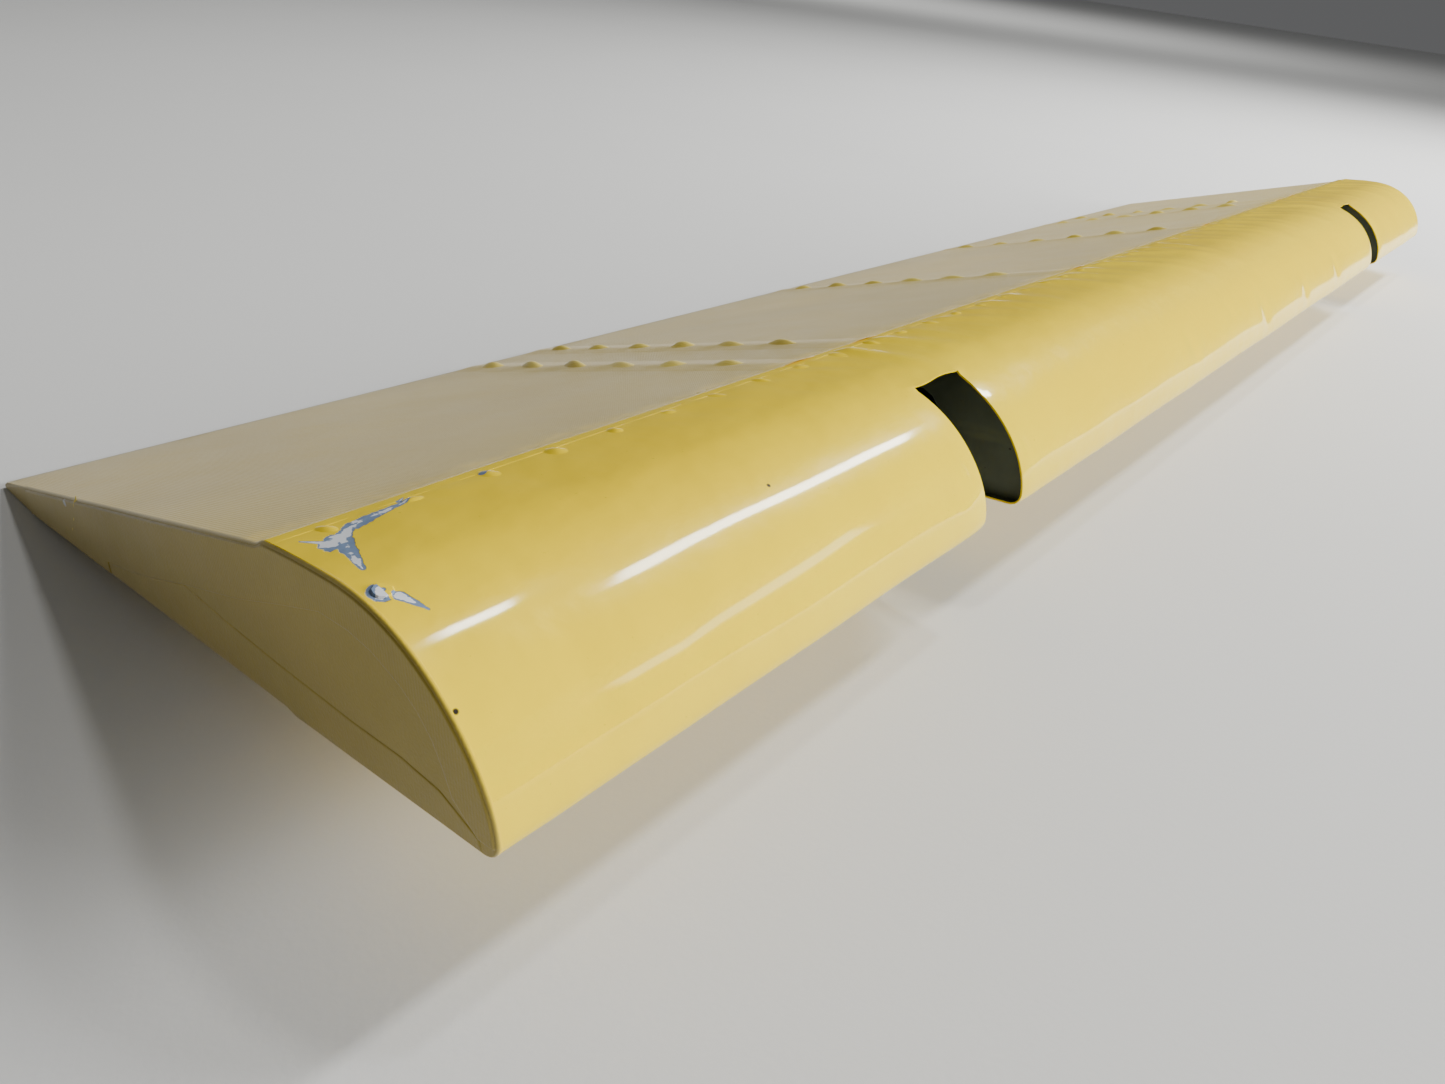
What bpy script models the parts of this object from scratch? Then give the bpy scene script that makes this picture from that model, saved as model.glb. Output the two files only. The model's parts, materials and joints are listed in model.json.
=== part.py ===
"""A fabric-covered aileron for a large model aeroplane: a sheet-metal nose with two hinge slots, a
channel spar, pressed ribs, a folded trailing edge and painted cloth. It rests on its trailing edge and
on its control horn, with the nose raised.

Sizes are metres. Inside the aileron, x runs along the span from the inboard end, u runs aft from the
nose lip, and v runs up from the chord line. The datum empty turns that frame into the resting attitude.
"""

import math

import bmesh
import bpy
from mathutils import Matrix, Vector
from mathutils.geometry import interpolate_bezier

# Overall sizes
SPAN = 1.220
CHORD = 0.305
GAP = 0.0003  # between two pieces that touch

# Section: the nose curve, the seam where metal ends and cloth begins, and the tail
LIP_RADIUS = 0.0056
CREST_U = 0.0550
CREST_V = 0.0522
LIP_PULL = 0.0168  # how far the nose curve leaves the lip upright
CREST_PULL = 0.0366  # how far it reaches the crest level
SEAM_U = 0.0856
SEAM_TOP = 0.0508
SEAM_BOTTOM = -0.0027
SEAM_STEP = 0.0010  # the cloth lies this much below the metal
JOGGLE_RUN = 0.0025
LEDGE_LENGTH = 0.0124  # of the skin, under the cloth
STRIP_DEPTH = 0.0270  # of the trailing edge strip
STRIP_BOTTOM = -0.0040
STRIP_FOLD = 0.0040  # from the fold of the strip to the tail
TAIL_HALF = 0.0012

# Sheet thicknesses
SKIN_WALL = 0.0008
SPAR_WALL = 0.0012
RIB_WALL = 0.0010
STRIP_WALL = 0.0006
CLOTH = 0.0004

# Spar and ribs
SPAR_SETBACK = 0.0004  # from the seam forward to the spar web
SPAR_FLANGE = 0.0148
RIB_FLANGE = 0.0080
END_TRAY = 0.0100
NOSE_HOLE_RADIUS = 0.0120
REAR_HOLE_RADIUS = 0.0095
FIRST_REAR_HOLE = 2.2  # hole radii, from the spar's flanges
REAR_HOLE_PITCH = 4.5  # hole radii
MID_RIBS = (-0.1113, 0.1370)  # from the control horn

# Hinges
INBOARD_HINGE = 0.2467  # from the inboard end
OUTBOARD_HINGE = 0.2327  # from the outboard end
SLOT_WIDTH = 0.0317
SLOT_TOP_U = 0.0370
SLOT_PAST_HINGE = 0.0080
RIB_OFF_SLOT = 0.0040
HINGE_U = 0.0580
HINGE_V = 0.0130
BALL_RADIUS = 0.0062
BALL_WIDTH = 0.0080
BALL_BORE = 0.0032
RACE_WALL = 0.0015  # where the race is thinnest
RACE_WIDTH = 0.0060
HUB_WALL = 0.0030

# Brackets and the control horn
FOOT_SIDE = 0.0008  # a foot is this much narrower than a slot, on each side
FOOT_TOP_CLEAR = 0.0108  # below the seam
FOOT_BOTTOM_CLEAR = 0.0067
FOOT_THICK = 0.0030
ARM_THICK = 0.0030
ARM_INSET = 0.0020  # from the ends of a foot to its arm
ARM_AT_HUB = 0.93  # half the arm's height at the hub, as a share of the hub's radius
PLATE_THICK = 0.0015
PLATE_MARGIN = 0.0020
HORN_X = SPAN / 2
HORN_U = 0.0710
HORN_V = -0.0210
HORN_RADIUS = 0.0090
BUSH_RADIUS = 0.0045
BUSH_BORE = 0.0030
BUSH_FLANGE_RADIUS = 0.0065
BUSH_FLANGE = 0.0010

# Fasteners
BOLT_RADIUS = 0.0020
BOLT_HEAD = 0.0028
BOLT_HEX_RADIUS = 0.0040
NUT_HEIGHT = 0.0032
BOLT_INSET = 0.0055  # from the edges of a foot
BOLT_END = 0.0008
RIVET_RADIUS = 0.0012
RIVET_HEAD_RADIUS = 0.0028
RIVET_HEAD = 0.0004
RIVET_CROWN = 0.85  # the flat of a head, as a share of its radius
RIVET_TAIL_RADIUS = 0.0018
RIVET_TAIL = 0.0009
END_RIVETS = (0.0150, 0.0430, 0.0720)  # their distances from the nose lip
ANGLE_LEG = 0.0120
ANGLE_WALL = 0.0015

# Places that follow from the sizes
JOGGLE_U = SEAM_U + JOGGLE_RUN
LEDGE_END = SEAM_U + LEDGE_LENGTH
STRIP_U = CHORD - STRIP_DEPTH
SPAR_U = SEAM_U - SPAR_SETBACK
SPAR_FLANGE_TIP = SPAR_U + SPAR_FLANGE
HINGE_STATIONS = {"inboard": INBOARD_HINGE, "outboard": SPAN - OUTBOARD_HINGE}
SLOT_BOTTOM_U = HINGE_U + SLOT_PAST_HINGE
RACE_RADIUS = BALL_RADIUS + GAP + RACE_WALL
FOOT_WIDTH = SLOT_WIDTH - 2 * FOOT_SIDE
FOOT_LOW = SEAM_BOTTOM + FOOT_BOTTOM_CLEAR
FOOT_HIGH = SEAM_TOP - FOOT_TOP_CLEAR

ROUND = 20  # sides of a bearing part
SMALL_ROUND = 10  # sides of a small hole, shank or rivet
HOLE_ROUND = 14  # sides of a lightening hole
HEX = 6
CUT_REACH = 0.020  # how far a slot's cutter stands outside the nose
CUT_LENGTH = 0.024  # of the drills for bolts and horn
SLIT_CLEAR = 3 * GAP  # round the horn, where it leaves the nose


# ---------------------------------------------------------------- section lines, as (u, v) points

def on_line(u, start, end):
    """Height at u on the straight line from start to end."""
    return start[1] + (end[1] - start[1]) * (u - start[0]) / (end[0] - start[0])


def cloth_top(u, below=0.0):
    """Outer face of the upper cloth, or a line that runs below it."""
    return on_line(u, (SEAM_U, SEAM_TOP - SEAM_STEP), (CHORD, TAIL_HALF)) - below


def cloth_bottom(u, above=0.0):
    """Outer face of the lower cloth, or a line that runs above it."""
    if u < STRIP_U:
        return on_line(u, (SEAM_U, SEAM_BOTTOM + SEAM_STEP), (STRIP_U, STRIP_BOTTOM)) + above
    return on_line(u, (STRIP_U, STRIP_BOTTOM), (CHORD, -TAIL_HALF)) + above


CLOTH_SLOPE = math.hypot(1, cloth_top(1.0) - cloth_top(0.0))  # upright depth of a sheet there
RIB_DROP = CLOTH + GAP  # from the cloth's outer face to what it lies on
SPAR_DROP = RIB_DROP + (SKIN_WALL + GAP) * CLOTH_SLOPE
TONGUE_DROP = SPAR_DROP + (SPAR_WALL + GAP) * CLOTH_SLOPE


def nose_curve():
    """The nose from the crest to the underside behind the lip."""
    crest = Vector((CREST_U, CREST_V))
    lip = Vector((0, LIP_RADIUS))
    curve = interpolate_bezier(
        crest, crest - Vector((CREST_PULL, 0)), lip + Vector((0, LIP_PULL)), lip, 11
    )
    points = [tuple(point) for point in curve]
    for step in (1, 2, 3):
        angle = math.pi + step * math.pi / 6
        points.append((LIP_RADIUS * (1 + math.cos(angle)), LIP_RADIUS * (1 + math.sin(angle))))
    return points


def nose_line():
    """Outer face of the nose skin, from its upper ledge over the nose to its lower ledge."""
    middle = (CREST_U + SEAM_U) / 2
    sag = (CREST_V - SEAM_TOP) / 4
    return [
        (LEDGE_END, cloth_top(LEDGE_END, RIB_DROP)),
        (JOGGLE_U, cloth_top(JOGGLE_U, RIB_DROP)),
        (SEAM_U, SEAM_TOP),
        (middle, CREST_V - sag),
        *nose_curve(),
        (SEAM_U, SEAM_BOTTOM),
        (JOGGLE_U, cloth_bottom(JOGGLE_U, RIB_DROP)),
        (LEDGE_END, cloth_bottom(LEDGE_END, RIB_DROP)),
    ]


def inset(line, distance, closed=False):
    """The line moved inwards by a distance, with mitred corners."""
    moved = []
    last = len(line) - 1
    for index, point in enumerate(line):
        here = Vector(point)
        ahead = Vector(line[(index + 1) % len(line)]) - here
        behind = here - Vector(line[index - 1])
        if not closed and index == 0:
            behind = ahead
        if not closed and index == last:
            ahead = behind
        first = Vector((-behind.y, behind.x)).normalized()
        second = Vector((-ahead.y, ahead.x)).normalized()
        inward = (first + second).normalized()
        moved.append(tuple(here + inward * distance / inward.dot(first)))
    return moved


def outer_outline():
    """The whole section as an end sheet covers it."""
    return [
        (CHORD, TAIL_HALF),
        (JOGGLE_U, cloth_top(JOGGLE_U)),
        *nose_line()[2:-2],
        (JOGGLE_U, cloth_bottom(JOGGLE_U)),
        (STRIP_U, STRIP_BOTTOM),
        (CHORD, -TAIL_HALF),
    ]


# ---------------------------------------------------------------- scene and materials

def clear_scene():
    for item in list(bpy.data.objects):
        bpy.data.objects.remove(item, do_unlink=True)


def collection(name):
    made = bpy.data.collections.new(name)
    bpy.context.scene.collection.children.link(made)
    return made


def paint(name, colour, roughness, metallic=0.0):
    made = bpy.data.materials.new(name)
    made.use_nodes = True
    shader = made.node_tree.nodes["Principled BSDF"]
    shader.inputs["Base Color"].default_value = (*colour, 1)
    shader.inputs["Roughness"].default_value = roughness
    shader.inputs["Metallic"].default_value = metallic
    return made


clear_scene()
PARTS = collection("aileron")
CUTTERS = collection("cutters")
YELLOW = paint("yellow_enamel", (0.83, 0.55, 0.01), 0.18)
CLOTH_YELLOW = paint("yellow_doped_cloth", (0.72, 0.50, 0.03), 0.38)
PRIMER = paint("grey_green_primer", (0.20, 0.22, 0.17), 0.6, 0.2)
BARE = paint("aluminium", (0.60, 0.61, 0.62), 0.4, 1.0)
STEEL = paint("plated_steel", (0.42, 0.42, 0.40), 0.35, 1.0)
BEARING_STEEL = paint("bearing_steel", (0.55, 0.55, 0.56), 0.2, 1.0)
BRONZE = paint("bronze", (0.50, 0.32, 0.13), 0.35, 1.0)


def resting_tilt():
    """The angle at which the trailing edge and the horn's round tip touch the ground together."""
    rise = HORN_V + TAIL_HALF
    run = CHORD - HORN_U
    return math.asin(HORN_RADIUS / math.hypot(run, rise)) + math.atan2(-rise, run)


def add_datum():
    tilt = resting_tilt()
    cos, sin = math.cos(tilt), math.sin(tilt)
    across = [u * cos + v * sin for u, v in outer_outline()]
    datum = bpy.data.objects.new("datum", None)
    PARTS.objects.link(datum)
    datum.rotation_euler = (-tilt, 0, 0)
    datum.location = (
        -SPAN / 2, -(min(across) + max(across)) / 2, CHORD * sin + TAIL_HALF * cos,
    )
    return datum


DATUM = add_datum()


def add_mesh(name, bm, finish=None, origin=(0, 0, 0)):
    """A bmesh, in the aileron's own frame, as an object. Without a finish it's a cutter."""
    bmesh.ops.translate(bm, verts=bm.verts, vec=-Vector(origin))
    mesh = bpy.data.meshes.new(name)
    bm.to_mesh(mesh)
    bm.free()
    thing = bpy.data.objects.new(name, mesh)
    thing.parent = DATUM
    thing.location = origin
    if finish is None:
        CUTTERS.objects.link(thing)
        thing.hide_render = True
        thing.display_type = "WIRE"
    else:
        PARTS.objects.link(thing)
        mesh.materials.append(finish)
    return thing


def boolean(thing, tool, operation="DIFFERENCE"):
    modifier = thing.modifiers.new(tool.name, "BOOLEAN")
    modifier.operation = operation
    modifier.object = tool


def wall(thing, thickness):
    """Gives an open surface its thickness, on the inner side."""
    modifier = thing.modifiers.new("wall", "SOLIDIFY")
    modifier.thickness = thickness
    modifier.offset = -1
    modifier.use_even_offset = True


# ---------------------------------------------------------------- shapes

def swept(name, line, start, end, thickness, finish):
    """A bent sheet: an open section line run along the span, with its wall inside it."""
    bm = bmesh.new()
    row = [bm.verts.new((start, u, v)) for u, v in line]
    edges = [bm.edges.new(pair) for pair in zip(row, row[1:])]
    made = bmesh.ops.extrude_edge_only(bm, edges=edges)["geom"]
    moved = [item for item in made if isinstance(item, bmesh.types.BMVert)]
    bmesh.ops.translate(bm, verts=moved, vec=(end - start, 0, 0))
    bm.normal_update()
    (u0, v0), (u1, v1) = line[:2]
    outward = Vector((0, v1 - v0, u0 - u1))
    if edges[0].link_faces[0].normal.dot(outward) < 0:
        bmesh.ops.reverse_faces(bm, faces=bm.faces)
    thing = add_mesh(name, bm, finish)
    wall(thing, thickness)
    return thing


ACROSS = Matrix(((0, 0, 1), (1, 0, 0), (0, 1, 0))).to_4x4()  # a flat outline's x, y become u, v


def plate(name, outline, centre_x, thickness, finish=None):
    """A flat outline in (u, v), as thick along the span as given."""
    curve = bpy.data.curves.new(name, "CURVE")
    curve.dimensions = "2D"
    curve.fill_mode = "BOTH"
    curve.extrude = thickness / 2
    spline = curve.splines.new("POLY")
    spline.points.add(len(outline) - 1)
    for point, (u, v) in zip(spline.points, outline):
        point.co = (u, v, 0, 1)
    spline.use_cyclic_u = True
    flat = bpy.data.objects.new(name + "_outline", curve)
    PARTS.objects.link(flat)
    graph = bpy.context.evaluated_depsgraph_get()
    mesh = bpy.data.meshes.new_from_object(flat.evaluated_get(graph))
    bm = bmesh.new()
    bm.from_mesh(mesh)
    bmesh.ops.remove_doubles(bm, verts=bm.verts, dist=1e-6)
    bmesh.ops.dissolve_limit(bm, angle_limit=1e-4, verts=bm.verts, edges=bm.edges)
    bmesh.ops.transform(bm, matrix=Matrix.Translation((centre_x, 0, 0)) @ ACROSS, verts=bm.verts)
    bpy.data.objects.remove(flat, do_unlink=True)
    return add_mesh(name, bm, finish)


def tray(name, outline, web_x, depth, finish):
    """A pressed rib: a flat web at web_x with a flange all round that reaches depth along x."""
    side = math.copysign(1, depth)
    thing = plate(name, outline, web_x + depth / 2, abs(depth), finish)
    hollow = inset(outline, RIB_WALL, closed=True)
    boolean(thing, plate(f"{name}_hollow", hollow, web_x + side * RIB_WALL + depth, 2 * abs(depth)))
    return thing


def block(bm, low, high):
    size = Vector(high) - Vector(low)
    place = Matrix.Translation((Vector(low) + Vector(high)) / 2) @ Matrix.Diagonal((*size, 1))
    bmesh.ops.create_cube(bm, size=1, matrix=place)


def facing(direction):
    """The turn that carries +Z to a direction."""
    return Vector((0, 0, 1)).rotation_difference(Vector(direction)).to_matrix().to_4x4()


def rod(bm, centre, direction, radius, length, sides=SMALL_ROUND):
    bmesh.ops.create_cone(
        bm,
        cap_ends=True,
        segments=sides,
        radius1=radius,
        radius2=radius,
        depth=length,
        matrix=Matrix.Translation(centre) @ facing(direction),
    )


def turned(bm, profile, centre, direction, sides):
    """(radius, height) points spun about an axis. A ring's profile ends where it starts."""
    turn = Matrix.Translation(centre) @ facing(direction)
    closed = profile[0] == profile[-1]
    points = profile[:-1] if closed else profile
    verts = [bm.verts.new(turn @ Vector((radius, 0, height))) for radius, height in points]
    pairs = list(zip(verts, verts[1:])) + ([(verts[-1], verts[0])] if closed else [])
    edges = [bm.edges.new(pair) for pair in pairs]
    before = set(bm.faces)
    bmesh.ops.spin(
        bm,
        geom=verts + edges,
        cent=centre,
        axis=direction,
        angle=2 * math.pi,
        steps=sides,
        use_merge=True,
    )
    made = [face for face in bm.faces if face not in before]
    own = list({vert for face in made for vert in face.verts})
    bmesh.ops.remove_doubles(bm, verts=own, dist=1e-6)
    made = [face for face in bm.faces if face not in before]
    bmesh.ops.recalc_face_normals(bm, faces=made)


# ---------------------------------------------------------------- skins, spar, trailing edge

SHELL_START = CLOTH + GAP  # inside the end sheets
SHELL_END = SPAN - SHELL_START
END_WEB = SHELL_START + END_TRAY  # the inner face of an end rib's web
SPAR_START = END_WEB + GAP


def spar_line():
    """Outer face of the channel: it lies under the skin's two ledges."""
    return [
        (SPAR_FLANGE_TIP, cloth_top(SPAR_FLANGE_TIP, SPAR_DROP)),
        (SPAR_U, cloth_top(SPAR_U, SPAR_DROP)),
        (SPAR_U, cloth_bottom(SPAR_U, SPAR_DROP)),
        (SPAR_FLANGE_TIP, cloth_bottom(SPAR_FLANGE_TIP, SPAR_DROP)),
    ]


def slot_outline():
    """What a hinge slot takes out of the nose: high in front, and low farther aft."""
    return [
        (-CUT_REACH, CREST_V + CUT_REACH),
        (-CUT_REACH, -CUT_REACH),
        (SLOT_BOTTOM_U, -CUT_REACH),
        (SLOT_BOTTOM_U, LIP_RADIUS / 2),
        (SLOT_TOP_U, CREST_V / 2),
        (SLOT_TOP_U, CREST_V + CUT_REACH),
    ]


def add_skins():
    skin = swept("nose_skin", nose_line(), SHELL_START, SHELL_END, SKIN_WALL, YELLOW)
    spar = swept("spar", spar_line(), SPAR_START, SPAN - SPAR_START, SPAR_WALL, PRIMER)
    top = [(CHORD, TAIL_HALF), (JOGGLE_U, cloth_top(JOGGLE_U))]
    bottom = [
        (JOGGLE_U, cloth_bottom(JOGGLE_U)), (STRIP_U, STRIP_BOTTOM), (CHORD, -TAIL_HALF),
    ]
    swept("upper_fabric", top, SHELL_START, SHELL_END, CLOTH, CLOTH_YELLOW)
    swept("lower_fabric", bottom, SHELL_START, SHELL_END, CLOTH, CLOTH_YELLOW)
    for side, centre in (("inboard", CLOTH / 2), ("outboard", SPAN - CLOTH / 2)):
        plate(f"end_fabric_{side}", outer_outline(), centre, CLOTH, CLOTH_YELLOW)
    for side, station in HINGE_STATIONS.items():
        boolean(skin, plate(f"slot_cutter_{side}", slot_outline(), station, SLOT_WIDTH))
    return skin, spar


def add_trailing_edge():
    """A folded strip inside the cloth, with its fold near the tail."""
    fold = CHORD - STRIP_FOLD
    line = [
        (STRIP_U, cloth_bottom(STRIP_U, RIB_DROP)),
        (fold, cloth_bottom(fold, RIB_DROP)),
        (fold, cloth_top(fold, RIB_DROP)),
        (STRIP_U, cloth_top(STRIP_U, RIB_DROP)),
    ]
    swept("trailing_edge_strip", line, SHELL_START, SHELL_END, STRIP_WALL, PRIMER)


# ---------------------------------------------------------------- ribs

RIB_END = STRIP_U - GAP


def rear_line(front, drop):
    """A rib aft of the spar, from the bottom front round the tail to the top front."""
    return [
        (front, cloth_bottom(front, drop)),
        (RIB_END, cloth_bottom(RIB_END, RIB_DROP)),
        (RIB_END, cloth_top(RIB_END, RIB_DROP)),
        (front, cloth_top(front, drop)),
    ]


def nose_rib_outline():
    """The inside of the nose skin, up to the spar web."""
    rear = SPAR_U - GAP
    _, _, top, *line, bottom, _, _ = inset(nose_line(), SKIN_WALL + GAP)
    return [
        (rear, on_line(rear, line[0], top)), *line, (rear, on_line(rear, line[-1], bottom)),
    ]


def rear_rib_outline():
    """Full height aft of the spar's flanges, with a tongue between them that meets the web."""
    web = SPAR_U + SPAR_WALL + GAP
    shoulder = SPAR_FLANGE_TIP + 2 * GAP
    return [
        (web, cloth_top(web, TONGUE_DROP)),
        (web, cloth_bottom(web, TONGUE_DROP)),
        (shoulder, cloth_bottom(shoulder, TONGUE_DROP)),
        *rear_line(shoulder, RIB_DROP),
        (shoulder, cloth_top(shoulder, TONGUE_DROP)),
    ]


def end_rib_outline():
    """One piece from the nose to the trailing edge strip, stepped in under the skin's ledges."""
    line = inset(nose_line(), SKIN_WALL + GAP)
    behind = LEDGE_END + 2 * GAP
    (u0, v0), (u1, v1) = line[0], line[-1]
    return [
        (behind, v0), (u0, v0), *line[1:-1], (u1, v1), (behind, v1),
        *rear_line(behind, RIB_DROP),
    ]


def add_rib_holes(name, centres, radius):
    """Lightening holes through every rib."""
    bm = bmesh.new()
    for u, v in centres:
        rod(bm, (SPAN / 2, u, v), (1, 0, 0), radius, SPAN, HOLE_ROUND)
    return add_mesh(name, bm)


def add_ribs():
    nose_holes = add_rib_holes("nose_hole_cutter", [(CREST_U, CREST_V / 2)], NOSE_HOLE_RADIUS)
    first = SPAR_FLANGE_TIP + FIRST_REAR_HOLE * REAR_HOLE_RADIUS
    middles = [first, first + REAR_HOLE_PITCH * REAR_HOLE_RADIUS]
    rear_holes = add_rib_holes(
        "rear_hole_cutter",
        [(u, (cloth_top(u) + cloth_bottom(u)) / 2) for u in middles],
        REAR_HOLE_RADIUS,
    )
    off = SLOT_WIDTH / 2 + RIB_OFF_SLOT
    stations = []
    for centre in HINGE_STATIONS.values():
        stations += [(centre - off, -RIB_FLANGE), (centre + off, RIB_FLANGE)]
    stations += [(HORN_X + offset, RIB_FLANGE) for offset in MID_RIBS]
    for number, (station, flange) in enumerate(sorted(stations), 1):
        nose = tray(f"nose_rib_{number}", nose_rib_outline(), station, flange, PRIMER)
        boolean(nose, nose_holes)
        rear = tray(f"rear_rib_{number}", rear_rib_outline(), station, flange, PRIMER)
        boolean(rear, rear_holes)
    for side, web, depth in (
        ("inboard", END_WEB, -END_TRAY), ("outboard", SPAN - END_WEB, END_TRAY),
    ):
        rib = tray(f"end_rib_{side}", end_rib_outline(), web, depth, PRIMER)
        boolean(rib, nose_holes)
        boolean(rib, rear_holes)


# ---------------------------------------------------------------- brackets, bearings and the horn

FOOT_U = SPAR_U - GAP - FOOT_THICK
PLATE_U = SPAR_U + SPAR_WALL + GAP


def foot_bolts(station):
    """The (x, v) places of a foot's four bolts."""
    side = FOOT_WIDTH / 2 - BOLT_INSET
    heights = (FOOT_LOW + BOLT_INSET, FOOT_HIGH - BOLT_INSET)
    return [(station + turn * side, v) for turn in (-1, 1) for v in heights]


def add_foot_fixings(name, station, spar):
    """Bolts, and the plate behind the web with their nuts pressed in. Returns the cutter of the holes."""
    places = foot_bolts(station)
    along = (0, 1, 0)
    bm = bmesh.new()
    for x, v in places:
        rod(bm, (x, SPAR_U, v), along, BOLT_RADIUS + GAP, CUT_LENGTH)
    holes = add_mesh(f"{name}_hole_cutter", bm)
    boolean(spar, holes)
    half = FOOT_WIDTH / 2 + PLATE_MARGIN
    rear = PLATE_U + PLATE_THICK
    bm = bmesh.new()
    block(bm, (station - half, PLATE_U, FOOT_LOW), (station + half, rear, FOOT_HIGH))
    nut_plate = add_mesh(f"{name}_nut_plate", bm, STEEL)
    bm = bmesh.new()
    for x, v in places:
        middle = rear + NUT_HEIGHT / 2 - GAP
        rod(bm, (x, middle, v), along, BOLT_HEX_RADIUS, NUT_HEIGHT, HEX)
    boolean(nut_plate, add_mesh(f"{name}_nuts", bm), "UNION")
    boolean(nut_plate, holes)
    head_u = FOOT_U - GAP - BOLT_HEAD
    shank_start = head_u + BOLT_HEAD / 2
    shank_end = rear + NUT_HEIGHT + BOLT_END
    for number, (x, v) in enumerate(places, 1):
        head = bmesh.new()
        rod(head, (x, head_u + BOLT_HEAD / 2, v), along, BOLT_HEX_RADIUS, BOLT_HEAD, HEX)
        shank = bmesh.new()
        middle = (shank_start + shank_end) / 2
        rod(shank, (x, middle, v), along, BOLT_RADIUS, shank_end - shank_start)
        bolt = add_mesh(f"{name}_bolt_{number}", head, STEEL)
        boolean(bolt, add_mesh(f"{name}_shank_{number}", shank), "UNION")
    return holes


def foot_mesh(name, station, finish):
    bm = bmesh.new()
    block(
        bm,
        (station - FOOT_WIDTH / 2, FOOT_U, FOOT_LOW),
        (station + FOOT_WIDTH / 2, FOOT_U + FOOT_THICK, FOOT_HIGH),
    )
    return add_mesh(name, bm, finish)


def add_bearing(side, station):
    """A self-aligning bearing: a race with a hollow round seat, and the ball that turns in it."""
    centre = (station, HINGE_U, HINGE_V)
    seat = BALL_RADIUS + GAP

    def arc(radius, half_width, steps=6):
        heights = [half_width * (2 * step / steps - 1) for step in range(steps + 1)]
        return [(math.sqrt(radius**2 - height**2), height) for height in heights]

    inner = arc(seat, RACE_WIDTH / 2)
    half = RACE_WIDTH / 2
    bm = bmesh.new()
    race = [*inner, (RACE_RADIUS, half), (RACE_RADIUS, -half), inner[0]]
    turned(bm, race, centre, (1, 0, 0), ROUND)
    add_mesh(f"hinge_race_{side}", bm, BEARING_STEEL, centre)
    bm = bmesh.new()
    half = BALL_WIDTH / 2
    outer = arc(BALL_RADIUS, half)
    turned(bm, [*outer, (BALL_BORE, half), (BALL_BORE, -half), outer[0]], centre, (1, 0, 0), ROUND)
    add_mesh(f"hinge_ball_{side}", bm, BEARING_STEEL, centre)


def add_hinge(side, station, spar):
    name = f"hinge_bracket_{side}"
    bracket = foot_mesh(name, station, STEEL)
    hub = RACE_RADIUS + GAP + HUB_WALL
    root_u = FOOT_U + FOOT_THICK / 2
    arm = [
        (root_u, FOOT_HIGH - ARM_INSET),
        (HINGE_U, HINGE_V + ARM_AT_HUB * hub),
        (HINGE_U, HINGE_V - ARM_AT_HUB * hub),
        (root_u, FOOT_LOW + ARM_INSET),
    ]
    boolean(bracket, plate(f"{name}_arm", arm, station, ARM_THICK), "UNION")
    bm = bmesh.new()
    rod(bm, (station, HINGE_U, HINGE_V), (1, 0, 0), hub, RACE_WIDTH, ROUND)
    boolean(bracket, add_mesh(f"{name}_hub", bm), "UNION")
    bm = bmesh.new()
    rod(bm, (station, HINGE_U, HINGE_V), (1, 0, 0), RACE_RADIUS + GAP, 2 * RACE_WIDTH, ROUND)
    boolean(bracket, add_mesh(f"{name}_bore", bm))
    boolean(bracket, add_foot_fixings(f"bracket_{side}", station, spar))
    add_bearing(side, station)


def add_horn(skin, spar):
    """The control horn: it stands on the spar and comes out through a slit under the nose."""
    horn = foot_mesh("control_horn", HORN_X, STEEL)
    root_u = FOOT_U + FOOT_THICK / 2
    tip = [
        (HORN_U + HORN_RADIUS * math.cos(angle), HORN_V + HORN_RADIUS * math.sin(angle))
        for angle in (math.pi * step / 12 - math.pi for step in range(13))
    ]
    arm = [
        (root_u, FOOT_HIGH - ARM_INSET), (HORN_U - HORN_RADIUS, FOOT_LOW), *tip, (root_u, FOOT_LOW),
    ]
    boolean(horn, plate("horn_arm", arm, HORN_X, ARM_THICK), "UNION")
    bm = bmesh.new()
    rod(bm, (HORN_X, HORN_U, HORN_V), (1, 0, 0), BUSH_RADIUS + GAP, CUT_LENGTH, ROUND)
    boolean(horn, add_mesh("horn_bore", bm))
    boolean(horn, add_foot_fixings("horn", HORN_X, spar))
    bm = bmesh.new()
    slit = ARM_THICK / 2 + SLIT_CLEAR
    block(
        bm,
        (HORN_X - slit, HORN_U - HORN_RADIUS - SLIT_CLEAR, SEAM_BOTTOM - SKIN_WALL),
        (HORN_X + slit, FOOT_U + FOOT_THICK, SKIN_WALL * 2),
    )
    boolean(skin, add_mesh("horn_slit_cutter", bm))
    inside = ARM_THICK / 2
    rim = inside + GAP
    cap = rim + BUSH_FLANGE
    bush = [
        (BUSH_BORE, -cap),
        (BUSH_RADIUS, -cap),
        (BUSH_RADIUS, rim),
        (BUSH_FLANGE_RADIUS, rim),
        (BUSH_FLANGE_RADIUS, cap),
        (BUSH_BORE, cap),
        (BUSH_BORE, -cap),
    ]
    bm = bmesh.new()
    turned(bm, bush, (HORN_X, HORN_U, HORN_V), (1, 0, 0), ROUND)
    add_mesh("horn_bush", bm, BRONZE, (HORN_X, HORN_U, HORN_V))


# ---------------------------------------------------------------- rivets and end angles

def on_nose(u, upper):
    """The point of the nose skin at u, above or below, and the way out from it."""
    line = nose_line()
    pairs = [pair for pair in zip(line, line[1:]) if (pair[1][0] < pair[0][0]) == upper]
    for start, end in pairs:
        if min(start[0], end[0]) <= u <= max(start[0], end[0]):
            run = Vector(end) - Vector(start)
            out = Vector((0, run.y, -run.x)).normalized()
            return Vector((0, u, on_line(u, start, end))), out
    raise ValueError("the nose has no point there")


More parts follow.
